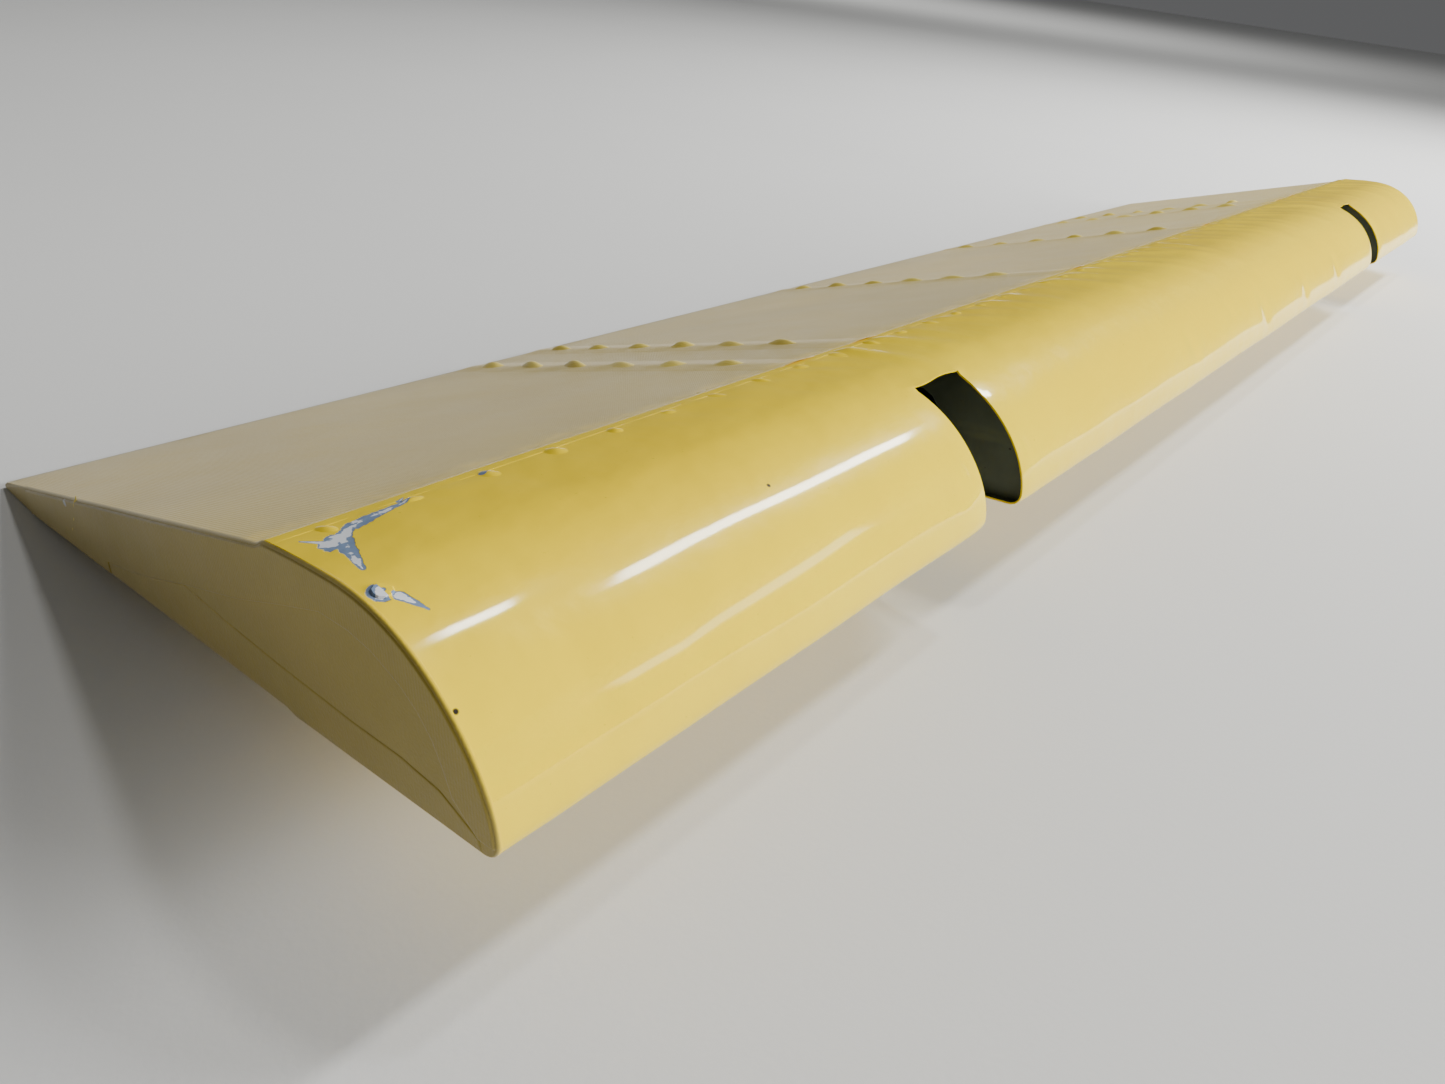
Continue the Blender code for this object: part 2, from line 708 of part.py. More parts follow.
def add_end_rivets(skin):
    """Flat-headed rivets hold the skin to the flange of each end rib."""
    stack = 3 * GAP + SKIN_WALL + RIB_WALL
    profile = [
        (0, RIVET_HEAD + GAP),
        (RIVET_HEAD_RADIUS * RIVET_CROWN, RIVET_HEAD + GAP),
        (RIVET_HEAD_RADIUS, GAP),
        (RIVET_RADIUS, GAP),
        (RIVET_RADIUS, GAP - stack),
        (RIVET_TAIL_RADIUS, GAP - stack),
        (RIVET_TAIL_RADIUS, GAP - stack - RIVET_TAIL),
        (0, GAP - stack - RIVET_TAIL),
    ]
    middle = SHELL_START + END_TRAY / 2
    for side, x in (("inboard", middle), ("outboard", SPAN - middle)):
        holes = bmesh.new()
        places = [on_nose(u, upper) for upper in (True, False) for u in END_RIVETS]
        for number, (point, out) in enumerate(places, 1):
            centre = point + Vector((x, 0, 0))
            rivet = bmesh.new()
            turned(rivet, profile, centre, out, SMALL_ROUND)
            add_mesh(f"end_rivet_{side}_{number}", rivet, BARE)
            rod(holes, centre - out * stack / 2, out, RIVET_RADIUS + GAP, 2 * stack)
        cutter = add_mesh(f"end_rivet_holes_{side}", holes)
        boolean(skin, cutter)
        boolean(bpy.data.objects[f"end_rib_{side}"], cutter)


def add_end_angles():
    """An angle at each end joins the spar web to the end rib's web."""
    for side, start, turn in (("inboard", SPAR_START, 1), ("outboard", SPAN - SPAR_START, -1)):
        rear = SPAR_U - GAP
        far = start + turn * ANGLE_LEG
        near = start + turn * ANGLE_WALL
        low_x, high_x = sorted((start, far))
        web_leg = bmesh.new()
        block(web_leg, (low_x, rear - ANGLE_WALL, FOOT_LOW), (high_x, rear, FOOT_HIGH))
        low_x, high_x = sorted((start, near))
        rib_leg = bmesh.new()
        block(rib_leg, (low_x, rear - ANGLE_LEG, FOOT_LOW), (high_x, rear, FOOT_HIGH))
        angle = add_mesh(f"spar_end_angle_{side}", web_leg, BARE)
        boolean(angle, add_mesh(f"spar_end_angle_leg_{side}", rib_leg), "UNION")


def main():
    skin, spar = add_skins()
    add_trailing_edge()
    add_ribs()
    for side, station in HINGE_STATIONS.items():
        add_hinge(side, station, spar)
    add_horn(skin, spar)
    add_end_rivets(skin)
    add_end_angles()


main()
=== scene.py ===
"""Finishes an aileron round its frame: an enamelled metal nose with two hinge slots, doped cloth covers
with tapes and rib stitching, cloth laps over both ends, rivets under the seam, and the finish of
every fitting inside.

A point of the section is (x, u, v): x along the span from the inboard end, u aft from the nose lip and
v up from the chord line, in metres. PLACE carries it to the frame, where the aileron rests tilted.
"""

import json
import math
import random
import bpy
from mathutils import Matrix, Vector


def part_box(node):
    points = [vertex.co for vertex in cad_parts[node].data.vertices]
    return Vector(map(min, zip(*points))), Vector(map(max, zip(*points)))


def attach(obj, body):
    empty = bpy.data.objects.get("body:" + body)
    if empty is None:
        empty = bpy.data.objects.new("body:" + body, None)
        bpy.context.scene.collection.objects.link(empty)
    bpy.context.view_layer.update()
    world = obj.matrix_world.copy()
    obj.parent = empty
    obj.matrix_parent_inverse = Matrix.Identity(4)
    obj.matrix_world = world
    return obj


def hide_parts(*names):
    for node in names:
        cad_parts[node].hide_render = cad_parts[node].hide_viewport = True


bl_info = {
    "name": "Fabric-Covered Aileron",
    "version": (1, 0, 0),
    "blender": (4, 5, 0),
    "location": "3D View > Sidebar > Aileron",
    "description": "Metal nose, doped cloth, stitching, fittings and studio of an aileron",
    "category": "Add Mesh",
}

import bmesh
import bpy
from bpy.props import FloatProperty, FloatVectorProperty, IntProperty, PointerProperty
from mathutils import Euler, Matrix, Vector, noise
from mathutils.geometry import interpolate_bezier

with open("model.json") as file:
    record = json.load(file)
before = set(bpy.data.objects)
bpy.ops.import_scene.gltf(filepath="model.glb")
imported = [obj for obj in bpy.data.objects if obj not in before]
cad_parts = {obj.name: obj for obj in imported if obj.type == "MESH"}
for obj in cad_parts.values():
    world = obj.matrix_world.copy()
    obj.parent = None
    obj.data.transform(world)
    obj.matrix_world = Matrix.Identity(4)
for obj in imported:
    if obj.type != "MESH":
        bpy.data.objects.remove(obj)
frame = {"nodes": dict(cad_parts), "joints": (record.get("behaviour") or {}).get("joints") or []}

HINGE = Vector((0, 0.058, 0.013))  # of the hinge line in the section
HORN = Vector((0, 0.071, -0.021))  # of the bush in the control horn
BODY = "aileron"
BARE_RIVET = "end_rivet_inboard_2"
SIDES = ("inboard", "outboard")


# ---------------------------------------------------------------- places, from the frame

def section_place():
    """The turn and the shift from the section to the frame, from the hinge line and the horn."""
    hinge = Vector(frame["joints"][0]["pos_m"])
    low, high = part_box("horn_bush")
    down = (low + high) / 2 - hinge
    arm = HORN - HINGE
    tilt = math.atan2(arm.z, arm.y) - math.atan2(down.z, down.y)
    turn = Matrix.Rotation(-tilt, 4, "X")
    shift = hinge - turn @ HINGE
    shift.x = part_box("end_fabric_inboard")[0].x
    return Matrix.Translation(shift) @ turn


PLACE = section_place()
TO_SECTION = PLACE.inverted()


def section_box(node):
    """Lowest and highest (x, u, v) of a node."""
    points = [TO_SECTION @ vert.co for vert in frame["nodes"][node].data.vertices]
    low, high = (Vector([pick(point[axis] for point in points) for axis in range(3)]) for pick in (min, max))
    return low, high


SPAN = section_box("end_fabric_outboard")[1].x
CHORD = section_box("end_fabric_inboard")[1].y
SPAR_FRONT, SPAR_TIP = (corner.y for corner in section_box("spar"))
STRIP_U = section_box("trailing_edge_strip")[0].y
SHELL_START = section_box("nose_skin")[0].x
RIBS = [sum(corner.x for corner in section_box(f"rear_rib_{n}")) / 2 for n in range(1, 7)]
SLOTS = [(TO_SECTION @ Vector(joint["pos_m"])).x for joint in frame["joints"]]
HORN_BOX = section_box("control_horn")


def linear(code):
    """An sRGB hex colour as linear RGB."""
    parts = [int(code[at:at + 2], 16) / 255 for at in (1, 3, 5)]
    return [part / 12.92 if part <= 0.04045 else ((part + 0.055) / 1.055) ** 2.4 for part in parts]


def length(name, default, description):
    return FloatProperty(name=name, description=description, default=default, unit="LENGTH", precision=5)


def colour(name, default, description):
    return FloatVectorProperty(
        name=name, description=description, default=linear(default), subtype="COLOR", min=0, max=1
    )


class AileronShape(bpy.types.PropertyGroup):
    lip_radius: length("Lip radius", 0.0056, "Radius of the nose lip")
    crest_u: length("Crest", 0.0550, "Where the nose is highest, aft of the lip")
    crest_v: length("Crest height", 0.0522, "Height of the nose over the chord line")
    lip_pull: length("Lip pull", 0.0168, "How far the nose curve leaves the lip upright")
    crest_pull: length("Crest pull", 0.0366, "How far it reaches the crest level")
    seam_u: length("Seam", SPAR_FRONT + 0.0004, "Where metal ends and cloth begins")
    seam_top: length("Seam top", 0.0508, "Height of the upper seam")
    seam_bottom: length("Seam bottom", -0.0027, "Height of the lower seam")
    seam_step: length("Seam step", 0.0010, "How far the cloth lies below the metal")
    step_run: length("Step run", 0.0060, "Over which the cloth rises to the metal")
    seam_lap: length("Seam lap", 0.0030, "Cloth that lies on the metal at the seam")
    strip_bottom: length("Strip bottom", -0.0040, "Height of the lower cloth at the tail strip")
    tail_half: length("Tail", 0.0012, "Radius of the trailing edge")
    skin: length("Skin", 0.0008, "Thickness of the nose metal")
    cloth: length("Cloth", 0.0004, "Thickness of a doped cover")
    ledge: length("Ledge", 0.0120, "Nose metal under the cloth")
    slot_width: length("Slot width", 0.0317, "Width of a hinge slot")
    slot_top: length("Slot top", 0.0370, "Where a slot starts on the top of the nose")
    slot_bottom: length("Slot bottom", 0.0660, "Where it ends on the underside")
    slit_half: length("Slit half", 0.0024, "Half the width of the slit for the horn")
    sag: length("Cloth sag", 0.0013, "Depth of the cloth between the widest-spaced ribs")
    corner: length("End corner", 0.0013, "Radius of the cloth over an end")
    canning: length("Waviness", 0.00042, "Height of the slow waves in the nose metal")
    slot_dip: length("Slot dip", 0.0006, "How far the metal sinks at the sides of a slot")
    crease: length("Crease", 0.0016, "Height of the strongest crease at the seam")


class AileronSewing(bpy.types.PropertyGroup):
    tape_width: length("Tape width", 0.024, "Width of the tape over a rib")
    tape_thick: length("Tape", 0.00025, "Thickness of a tape")
    stitch_pitch: length("Stitch pitch", 0.030, "Between two stitches of a rib")
    stitch_length: length("Stitch length", 0.027, "Length of the lump over a stitch, at its foot")
    stitch_width: length("Stitch width", 0.0110, "Width of it at its foot")
    stitch_height: length("Stitch height", 0.0031, "Height of it, a third of which is sunk")
    rivet_pitch: length("Rivet pitch", 0.025, "Between two rivets of the seam")
    rivet_width: length("Rivet width", 0.0105, "Width of the lump over a rivet, at its foot")
    rivet_height: length("Rivet height", 0.0009, "Height of it, a third of which is sunk")
    lap_thick: length("Lap", 0.00048, "Thickness of a cloth lap on an end")
    seed: IntProperty(name="Seed", description="Of everything uneven", default=7)


class AileronColours(bpy.types.PropertyGroup):
    enamel: colour("Enamel", "#ffda00", "Gloss enamel of the nose")
    dope: colour("Dope", "#d8bd46", "Pigmented dope of the cloth")
    primer: colour("Primer", "#59604f", "Primer on the ribs and the spar")
    undercoat: colour("Undercoat", "#7487a3", "Undercoat round a chip")
    speck: colour("Speck", "#302b26", "A burnt speck in the enamel")
    aluminium: colour("Aluminium", "#d3d6da", "Bare aluminium")
    zinc: colour("Zinc", "#b5b3a8", "Plated steel")
    steel: colour("Bearing steel", "#c2c3c6", "Ground bearing steel")
    bronze: colour("Bronze", "#b08a52", "Sintered bronze")
    floor: colour("Floor", "#e2e2df", "Studio floor")


class AileronStudio(bpy.types.PropertyGroup):
    lens: FloatProperty(name="Lens", description="Focal length", default=24.94, unit="CAMERA")
    camera_place: FloatVectorProperty(
        name="Camera", description="Place in the section", default=(-0.0979, -0.1406, 0.1644), unit="LENGTH"
    )
    camera_turn: FloatVectorProperty(
        name="Camera turn",
        description="Turn of the camera in the frame",
        default=[math.radians(angle) for angle in (58.91, -7.10, -49.49)],
        subtype="EULER",
    )
    light: FloatProperty(name="Light", description="Share of each lamp's power", default=0.70)
    sky: FloatProperty(name="Sky", description="Brightness of the room", default=0.13)


# ---------------------------------------------------------------- the section

def on_line(u, start, end):
    return start[1] + (end[1] - start[1]) * (u - start[0]) / (end[0] - start[0])


def smooth(value):
    value = min(max(value, 0.0), 1.0)
    return value * value * (3 - 2 * value)


def bell(*offsets):
    """1 at the middle, fading with offsets given in widths."""
    return math.exp(-sum(offset * offset for offset in offsets))


def on_metal(shape, u):
    """Height of the lap's face over the seam: the metal goes on rising forward to the crest."""
    share = (shape.seam_u - min(u, shape.seam_u)) / (shape.seam_u - shape.crest_u)
    return (shape.crest_v - shape.seam_top) * (1 - (1 - share) ** 2) + 0.0001


def cloth_line(shape, u, upper):
    """Outer face of a taut cover at u, with its rise to the metal and its lap over it at the seam."""
    if upper:
        taut = on_line(u, (shape.seam_u, shape.seam_top - shape.seam_step), (CHORD, shape.tail_half))
        metal = shape.seam_top + on_metal(shape, u)
    else:
        front = (shape.seam_u, shape.seam_bottom + shape.seam_step)
        knee = (STRIP_U, shape.strip_bottom)
        tail = (CHORD, -shape.tail_half)
        taut = on_line(u, front, knee) if u < STRIP_U else on_line(u, knee, tail)
        metal = shape.seam_bottom - 0.0001
    return metal + (taut - metal) * smooth((u - shape.seam_u) / shape.step_run)


def bay_sag(shape, x, u):
    """How far a cover sinks at x, u: each bay between two ribs hangs as a drum skin does."""
    posts = [0, *RIBS, SPAN]
    before = max(post for post in posts if post <= x)
    after = min(post for post in posts if post > x)
    wide = max(b - a for a, b in zip(posts, posts[1:]))
    deep = shape.sag * ((after - before) / wide) ** 1.5
    along = (u - SPAR_TIP) / (STRIP_U - SPAR_TIP)
    if not 0 < along < 1:
        return 0
    return deep * math.sin(math.pi * (x - before) / (after - before)) * math.sin(math.pi * along)


def cover_point(shape, x, u, upper, lift=0.0):
    """The point of a cover at x, u, lifted outwards."""
    inside = min(max(x, 0.0001), SPAN - 0.0001)
    v = cloth_line(shape, u, upper)
    depth = bay_sag(shape, inside, u) - lift
    return Vector((x, u, v - depth if upper else v + depth))


def nose_line(shape):
    """Outer face of the nose metal, from its upper ledge over the crest and the lip to its lower one."""
    behind = shape.seam_u + shape.ledge
    drop = 2 * shape.cloth
    run = shape.seam_u - shape.crest_u
    fall = shape.crest_v - shape.seam_top
    roof = [
        (shape.seam_u - run * share, shape.crest_v - fall * (1 - share) ** 2)
        for share in (step / 8 for step in range(8))
    ]
    crest = Vector((shape.crest_u, shape.crest_v))
    lip = Vector((0, shape.lip_radius))
    curve = interpolate_bezier(
        crest, crest - Vector((shape.crest_pull, 0)), lip + Vector((0, shape.lip_pull)), lip, 64
    )
    radius = shape.lip_radius
    angles = [math.pi + math.pi / 2 * step / 12 for step in range(1, 13)]
    return [
        (behind, cloth_line(shape, behind, True) - drop),
        (shape.seam_u + 0.0009, shape.seam_top - shape.seam_step - drop),
        (shape.seam_u + 0.0005, shape.seam_top - 0.0006),
        *roof,
        *[tuple(point) for point in curve],
        *[(radius * (1 + math.cos(angle)), radius * (1 + math.sin(angle))) for angle in angles],
        (shape.seam_u, shape.seam_bottom),
        (shape.seam_u + 0.0005, shape.seam_bottom + 0.0006),
        (shape.seam_u + 0.0009, shape.seam_bottom + shape.seam_step + drop),
        (behind, cloth_line(shape, behind, False) + drop),
    ]


class Profile:
    """A line in (u, v) that can be read at any distance along it."""

    def __init__(self, line):
        self.line = [Vector(point) for point in line]
        self.sums = [0.0]
        for start, end in zip(self.line, self.line[1:]):
            self.sums.append(self.sums[-1] + (end - start).length)

    def at(self, distance):
        """The point there and the way out."""
        index = max(i for i, total in enumerate(self.sums[:-1]) if total <= distance + 1e-9)
        start, end = self.line[index], self.line[index + 1]
        run = end - start
        run.normalize()
        before = self.line[max(index - 1, 0)]
        after = self.line[min(index + 2, len(self.line) - 1)]
        share = (distance - self.sums[index]) / (self.sums[index + 1] - self.sums[index])
        first = (end - before).normalized()
        second = (after - start).normalized()
        way = first.lerp(second, share).normalized()
        if (first - second).length > 0.6:
            way = run
        return start.lerp(end, share), Vector((way.y, -way.x))

    def where(self, u, upper):
        """Distance along the line to u, on the upper or the lower side of the lip."""
        for index, (start, end) in enumerate(zip(self.line, self.line[1:])):
            if (end.x < start.x) == upper and min(start.x, end.x) <= u <= max(start.x, end.x):
                share = (u - start.x) / (end.x - start.x)
                return self.sums[index] + share * (self.sums[index + 1] - self.sums[index])
        raise ValueError("the profile has no such place")

    def nose_point(self, x, u, upper=True):
        point, _ = self.at(self.where(u, upper))
        return Vector((x, point.x, point.y))


def stops(marks, pitch):
    """Places from the first mark to the last, through every mark, no farther apart than the pitch."""
    places = [marks[0]]
    for start, end in zip(marks, marks[1:]):
        steps = max(1, math.ceil((end - start) / pitch - 1e-6))
        places += [start + (end - start) * step / steps for step in range(1, steps + 1)]
    return places


# ---------------------------------------------------------------- meshes

def link(name, data):
    thing = bpy.data.objects.new(name, data)
    bpy.context.scene.collection.objects.link(thing)
    return thing


def add_piece(name, bm, *materials):
    """A bmesh in the section's frame, as a smooth-shaded object that rides on the aileron."""
    bmesh.ops.transform(bm, matrix=PLACE, verts=bm.verts)
    mesh = bpy.data.meshes.new(name)
    bm.to_mesh(mesh)
    bm.free()
    mesh.shade_smooth()
    for material in materials:
        mesh.materials.append(material)
    return link(name, mesh)


def add_grid(bm, rows, out, keep=None):
    """Faces between rows of points, turned so that the first faces the way out. keep(i, j) leaves holes."""
    verts = [[bm.verts.new(point) for point in row] for row in rows]
    faces = []
    for i in range(len(rows) - 1):
        for j in range(len(rows[0]) - 1):
            if keep is None or keep(i, j):
                corners = (verts[i][j], verts[i][j + 1], verts[i + 1][j + 1], verts[i + 1][j])
                faces.append(bm.faces.new(corners))
    bm.normal_update()
    if faces[0].normal.dot(out) < 0:
        bmesh.ops.reverse_faces(bm, faces=faces)
    loose = [vert for row in verts for vert in row if not vert.link_faces]
    bmesh.ops.delete(bm, geom=loose, context="VERTS")


def thicken(thing, thickness, edge, inner=0):
    """A wall on the inner side, with its edges rounded. inner is the slot step of the inner face."""
    wall = thing.modifiers.new("wall", "SOLIDIFY")
    wall.thickness = thickness
    wall.offset = -1
    wall.material_offset = inner
    soft = thing.modifiers.new("edge", "BEVEL")
    soft.width = edge
    soft.segments = 2
    soft.limit_method = "ANGLE"
    soft.angle_limit = math.radians(50)
    soft.harden_normals = True


# ---------------------------------------------------------------- materials

MATH, VECTOR, NOISE = "ShaderNodeMath", "ShaderNodeVectorMath", "ShaderNodeTexNoise"
RANGE, MIX, BUMP = "ShaderNodeMapRange", "ShaderNodeMix", "ShaderNodeBump"
OF_COLOURS = {"out": 2, "data_type": "RGBA"}  # a mix whose inputs 6 and 7 are colours
SOFTLY = {"interpolation_type": "SMOOTHSTEP"}
THREAD_SCALE = math.pi / 10  # a wave texture of scale 1 repeats every pi / 10 metres


def add(tree, kind, feeds=(), out=0, **settings):
    """Adds a node with its settings and links, and gives one output. Inputs come in order or by name."""
    made = tree.nodes.new(kind)
    for key, value in settings.items():
        setattr(made, key, value)
    for key, value in feeds.items() if isinstance(feeds, dict) else enumerate(feeds):
        socket = made.inputs[key]
        if isinstance(value, bpy.types.NodeSocket):
            tree.links.new(value, socket)
        else:
            socket.default_value = (*value, 1) if socket.type == "RGBA" else value
    return made.outputs[out] if made.outputs else made


def new_material(name):
    """An empty node tree, and in it the section's own coordinates for every pattern."""
    made = bpy.data.materials.new(name)
    made.use_nodes = True
    tree = made.node_tree
    tree.nodes.clear()
    feeds = {
        "Vector": add(tree, "ShaderNodeTexCoord", out="Object"),
        "Location": PLACE.translation,
        "Rotation": PLACE.to_euler(),
    }
    return made, tree, add(tree, "ShaderNodeMapping", feeds, vector_type="TEXTURE")


def close_material(tree, **feeds):
    """The shader and the output, from the shader's inputs by name."""
    inputs = {key.replace("_", " "): value for key, value in feeds.items()}
    shader = add(tree, "ShaderNodeBsdfPrincipled", inputs)
    add(tree, "ShaderNodeOutputMaterial", {"Surface": shader})


def per_mm(size):
    """A noise scale whose lumps are this many millimetres across."""
    return 1000 / size


def shade(colour, factor):
    return [min(1.0, part * factor) for part in colour]


def chip_group():
    """How far a place is from a tapering line, in widths of the line: below 1 is inside it."""
    tree = bpy.data.node_groups.new("Distance to a chip", "ShaderNodeTree")
    for label in ("Place", "Start", "Along"):
        tree.interface.new_socket(label, in_out="INPUT", socket_type="NodeSocketVector")
    for label in ("Width", "Noise", "Raggedness"):
        tree.interface.new_socket(label, in_out="INPUT", socket_type="NodeSocketFloat")
    tree.interface.new_socket("Reach", in_out="OUTPUT", socket_type="NodeSocketFloat")
    given = add(tree, "NodeGroupInput").node.outputs
    along = given["Along"]
    away = add(tree, VECTOR, (given["Place"], given["Start"]), operation="SUBTRACT")
    dot = add(tree, VECTOR, (away, along), out=1, operation="DOT_PRODUCT")
    square = add(tree, VECTOR, (along, along), out=1, operation="DOT_PRODUCT")
    share = add(tree, MATH, (dot, square), operation="DIVIDE", use_clamp=True)
    foot = add(tree, VECTOR, {0: along, "Scale": share}, operation="SCALE")
    gap = add(tree, VECTOR, (away, foot), out=1, operation="DISTANCE")
    thin = add(tree, MATH, (share, -0.75, 1.0), operation="MULTIPLY_ADD")
    width = add(tree, MATH, (given["Width"], thin), operation="MULTIPLY")
    reach = add(tree, MATH, (gap, width), operation="DIVIDE")
    uneven = add(tree, MATH, (given["Noise"], given["Raggedness"], reach), operation="MULTIPLY_ADD")
    add(tree, "NodeGroupOutput", (uneven,))
    return tree


def chip_lines(profile):
    """Where paint has come off the nose: start, end, half width and raggedness of each line."""
    def at(x, u):
        return profile.nose_point(x, u)

    apex = at(0.0100, 0.0705)
    elbow = at(0.0190, 0.0768)
    low, high = section_box(BARE_RIVET)
    rivet = (low + high) / 2
    return [
        (apex, elbow, 0.0046, 1.0),
        (elbow, at(0.0400, 0.0812), 0.0030, 1.0),
        (at(0.0130, 0.0730), at(0.0075, 0.0535), 0.0034, 1.0),
        (apex, at(0.0055, 0.0782), 0.0015, 1.0),
        (at(rivet.x - 0.0001, rivet.y), at(rivet.x, rivet.y), 0.0041, 0.3),
        (at(rivet.x + 0.0020, rivet.y - 0.0030), at(rivet.x + 0.0050, rivet.y - 0.0098), 0.0018, 1.0),
        (at(0.0635, 0.0815), at(0.0668, 0.0822), 0.0014, 0.8),
        (at(0.0362, 0.0822), at(0.0385, 0.0836), 0.0010, 0.8),
        (at(0.2205, 0.0075), at(0.2225, 0.0068), 0.0006, 0.8),
    ]


def specks(profile):
    return [profile.nose_point(0.0019, 0.0132), profile.nose_point(0.1270, 0.0260)]


def gloss_enamel(colours, profile):
    """Gloss enamel sprayed on aluminium: a wet yellow shine whose highlights break up on orange peel and
    slow waves, a little deeper in tone where it is thick, and chipped at the inboard end to blue grey
    undercoat with pale bare metal inside it, lightened past its own colour to paint the glint of the metal."""
    made, tree, place = new_material("gloss_enamel")
    ragged, patches, tone, dust, peel, waves = (
        add(tree, NOISE, {"Vector": place, "Scale": per_mm(size), "Detail": detail})
        for size, detail in ((2.2, 5), (4.5, 3), (160, 2), (1.6, 1), (3.6, 2), (26, 2))
    )
    centred = add(tree, MATH, (ragged, 0.5), operation="SUBTRACT")
    group = chip_group()
    reach = 9.0
    for start, end, width, raggedness in chip_lines(profile):
        one = add(
            tree, "ShaderNodeGroup", (place, start, end - start, width, centred, raggedness), node_tree=group
        )
        reach = add(tree, MATH, (reach, one), operation="MINIMUM")
    lost = add(tree, RANGE, (reach, 0.93, 0.84), **SOFTLY)
    depth = add(tree, MATH, (patches, 2.6, reach), operation="MULTIPLY_ADD")
    deep = add(tree, RANGE, (depth, 1.72, 1.60), **SOFTLY)
    bare = add(tree, MATH, (deep, lost), operation="MULTIPLY")

    thick = add(tree, RANGE, (tone, 0.3, 0.7))
    enamel = {0: thick, 6: shade(colours.enamel, 0.93), 7: shade(colours.enamel, 1.04)}
    paint = add(tree, MIX, enamel, **OF_COLOURS)
    grit = add(tree, RANGE, (dust, 0.77, 0.83, 0, 0.5))
    paint = add(tree, MIX, {0: grit, 6: paint, 7: shade(colours.enamel, 0.55)}, **OF_COLOURS)
    for spot in specks(profile):
        far = add(tree, VECTOR, (place, spot), out=1, operation="DISTANCE")
        inside = add(tree, RANGE, (far, 0.0009, 0.0005))
        paint = add(tree, MIX, {0: inside, 6: paint, 7: colours.speck}, **OF_COLOURS)
    greys = {0: ragged, 6: shade(colours.undercoat, 0.7), 7: shade(colours.undercoat, 1.3)}
    under = add(tree, MIX, greys, **OF_COLOURS)
    # Bare aluminium lightened past its own colour: a painted glint of the metal.
    bare_metal_and_painted_glint = shade(colours.aluminium, 1.35)
    metal = add(tree, MIX, {0: bare, 6: under, 7: bare_metal_and_painted_glint}, **OF_COLOURS)
    skin = add(tree, MIX, {0: lost, 6: paint, 7: metal}, **OF_COLOURS)

    normal = add(tree, BUMP, {"Height": peel, "Distance": 0.00007})
    normal = add(tree, BUMP, {"Height": waves, "Distance": 0.0009, "Normal": normal})
    normal = add(tree, BUMP, {"Height": lost, "Distance": -0.00015, "Normal": normal})
    close_material(
        tree, Base_Color=skin, Normal=normal, Specular_IOR_Level=0.1, Coat_Roughness=0.07,
        Metallic=add(tree, MATH, (bare, 0.3), operation="MULTIPLY"),
        Roughness=add(tree, RANGE, (lost, 0, 1, 0.3, 0.5)),
        Coat_Weight=add(tree, RANGE, (lost, 0, 1, 0.6, 0)),
    )
    return made


FLECK = (0.0, 0.2336, 0.0150)  # of bare cloth on the inboard corner


def doped_cloth(colours, name, tone, weave):
    """Cotton shrunk tight with pigmented dope: a semi-gloss skin, greyer than the enamel, in which the
    weave still shows as a fine grain. It is cloudy where coats overlap, pale with a dusty bloom at a
    low angle, and yellow at the seam, where enamel was sprayed a little way over it."""
    made, tree, place = new_material(name)
    base = shade(colours.dope, tone)
    cloudy, grain, edge, pucker, streaks = (
        add(tree, NOISE, {"Vector": place, "Scale": per_mm(size), "Detail": detail, "Roughness": rough})
        for size, detail, rough in ((90, 4, 0.5), (0.9, 2, 0.5), (11, 5, 0.65), (14, 3, 0.5), (30, 3, 0.5))
    )
    coats = add(tree, RANGE, (cloudy, 0.3, 0.7))
    paint = add(tree, MIX, {0: coats, 6: shade(base, 0.90), 7: shade(base, 1.05)}, **OF_COLOURS)
    dots = add(tree, RANGE, (grain, 0.35, 0.75, 0, 0.35))
    paint = add(tree, MIX, {0: dots, 6: paint, 7: shade(base, 0.82)}, **OF_COLOURS)
    axes = add(tree, "ShaderNodeSeparateXYZ", (place,)).node.outputs
    uneven = add(tree, MATH, (edge, -0.030, axes["Y"]), operation="MULTIPLY_ADD")
    feeds = (uneven, SPAR_FRONT + 0.004, SPAR_FRONT - 0.016)
    near_seam = add(tree, RANGE, feeds, **SOFTLY)
    other = add(tree, MATH, (SPAN, axes["X"]), operation="SUBTRACT")
    end = add(tree, MATH, (axes["X"], other), operation="MINIMUM")
    off_end = add(tree, RANGE, (end, 0.0004, 0.0011))
    sprayed = add(tree, MATH, (near_seam, off_end), operation="MULTIPLY")
    paint = add(tree, MIX, {0: sprayed, 6: paint, 7: colours.enamel}, **OF_COLOURS)
    far = add(tree, VECTOR, (place, FLECK), out=1, operation="DISTANCE")
    fleck = add(tree, RANGE, (far, 0.0016, 0.0009))
    paint = add(tree, MIX, {0: fleck, 6: paint, 7: colours.aluminium}, **OF_COLOURS)

    # Real threads lie 0.4 mm apart; they are drawn 1.1 mm apart, so that they can be seen.
    scale = THREAD_SCALE * per_mm(1.1)
    waves = [
        add(tree, "ShaderNodeTexWave", {"Vector": place, "Scale": scale}, out="Fac", bands_direction=way)
        for way in "XY"
    ]
    threads = add(tree, MATH, waves, operation="MULTIPLY")
    normal = None
    for height, distance in ((threads, weave), (grain, 0.00008), (pucker, 0.0002)):
        feeds = {"Height": height, "Distance": distance}
        normal = add(tree, BUMP, {**feeds, "Normal": normal} if normal else feeds)
    rough = add(tree, RANGE, (streaks, 0.3, 0.7, 0.36, 0.46))
    close_material(
        tree, Base_Color=paint, Normal=normal, Specular_IOR_Level=0.5, Sheen_Weight=0.45,
        Sheen_Roughness=0.45, Sheen_Tint=linear("#c3c8dc"),
        Roughness=add(tree, MATH, (sprayed, -0.14, rough), operation="MULTIPLY_ADD"),
    )
    return made


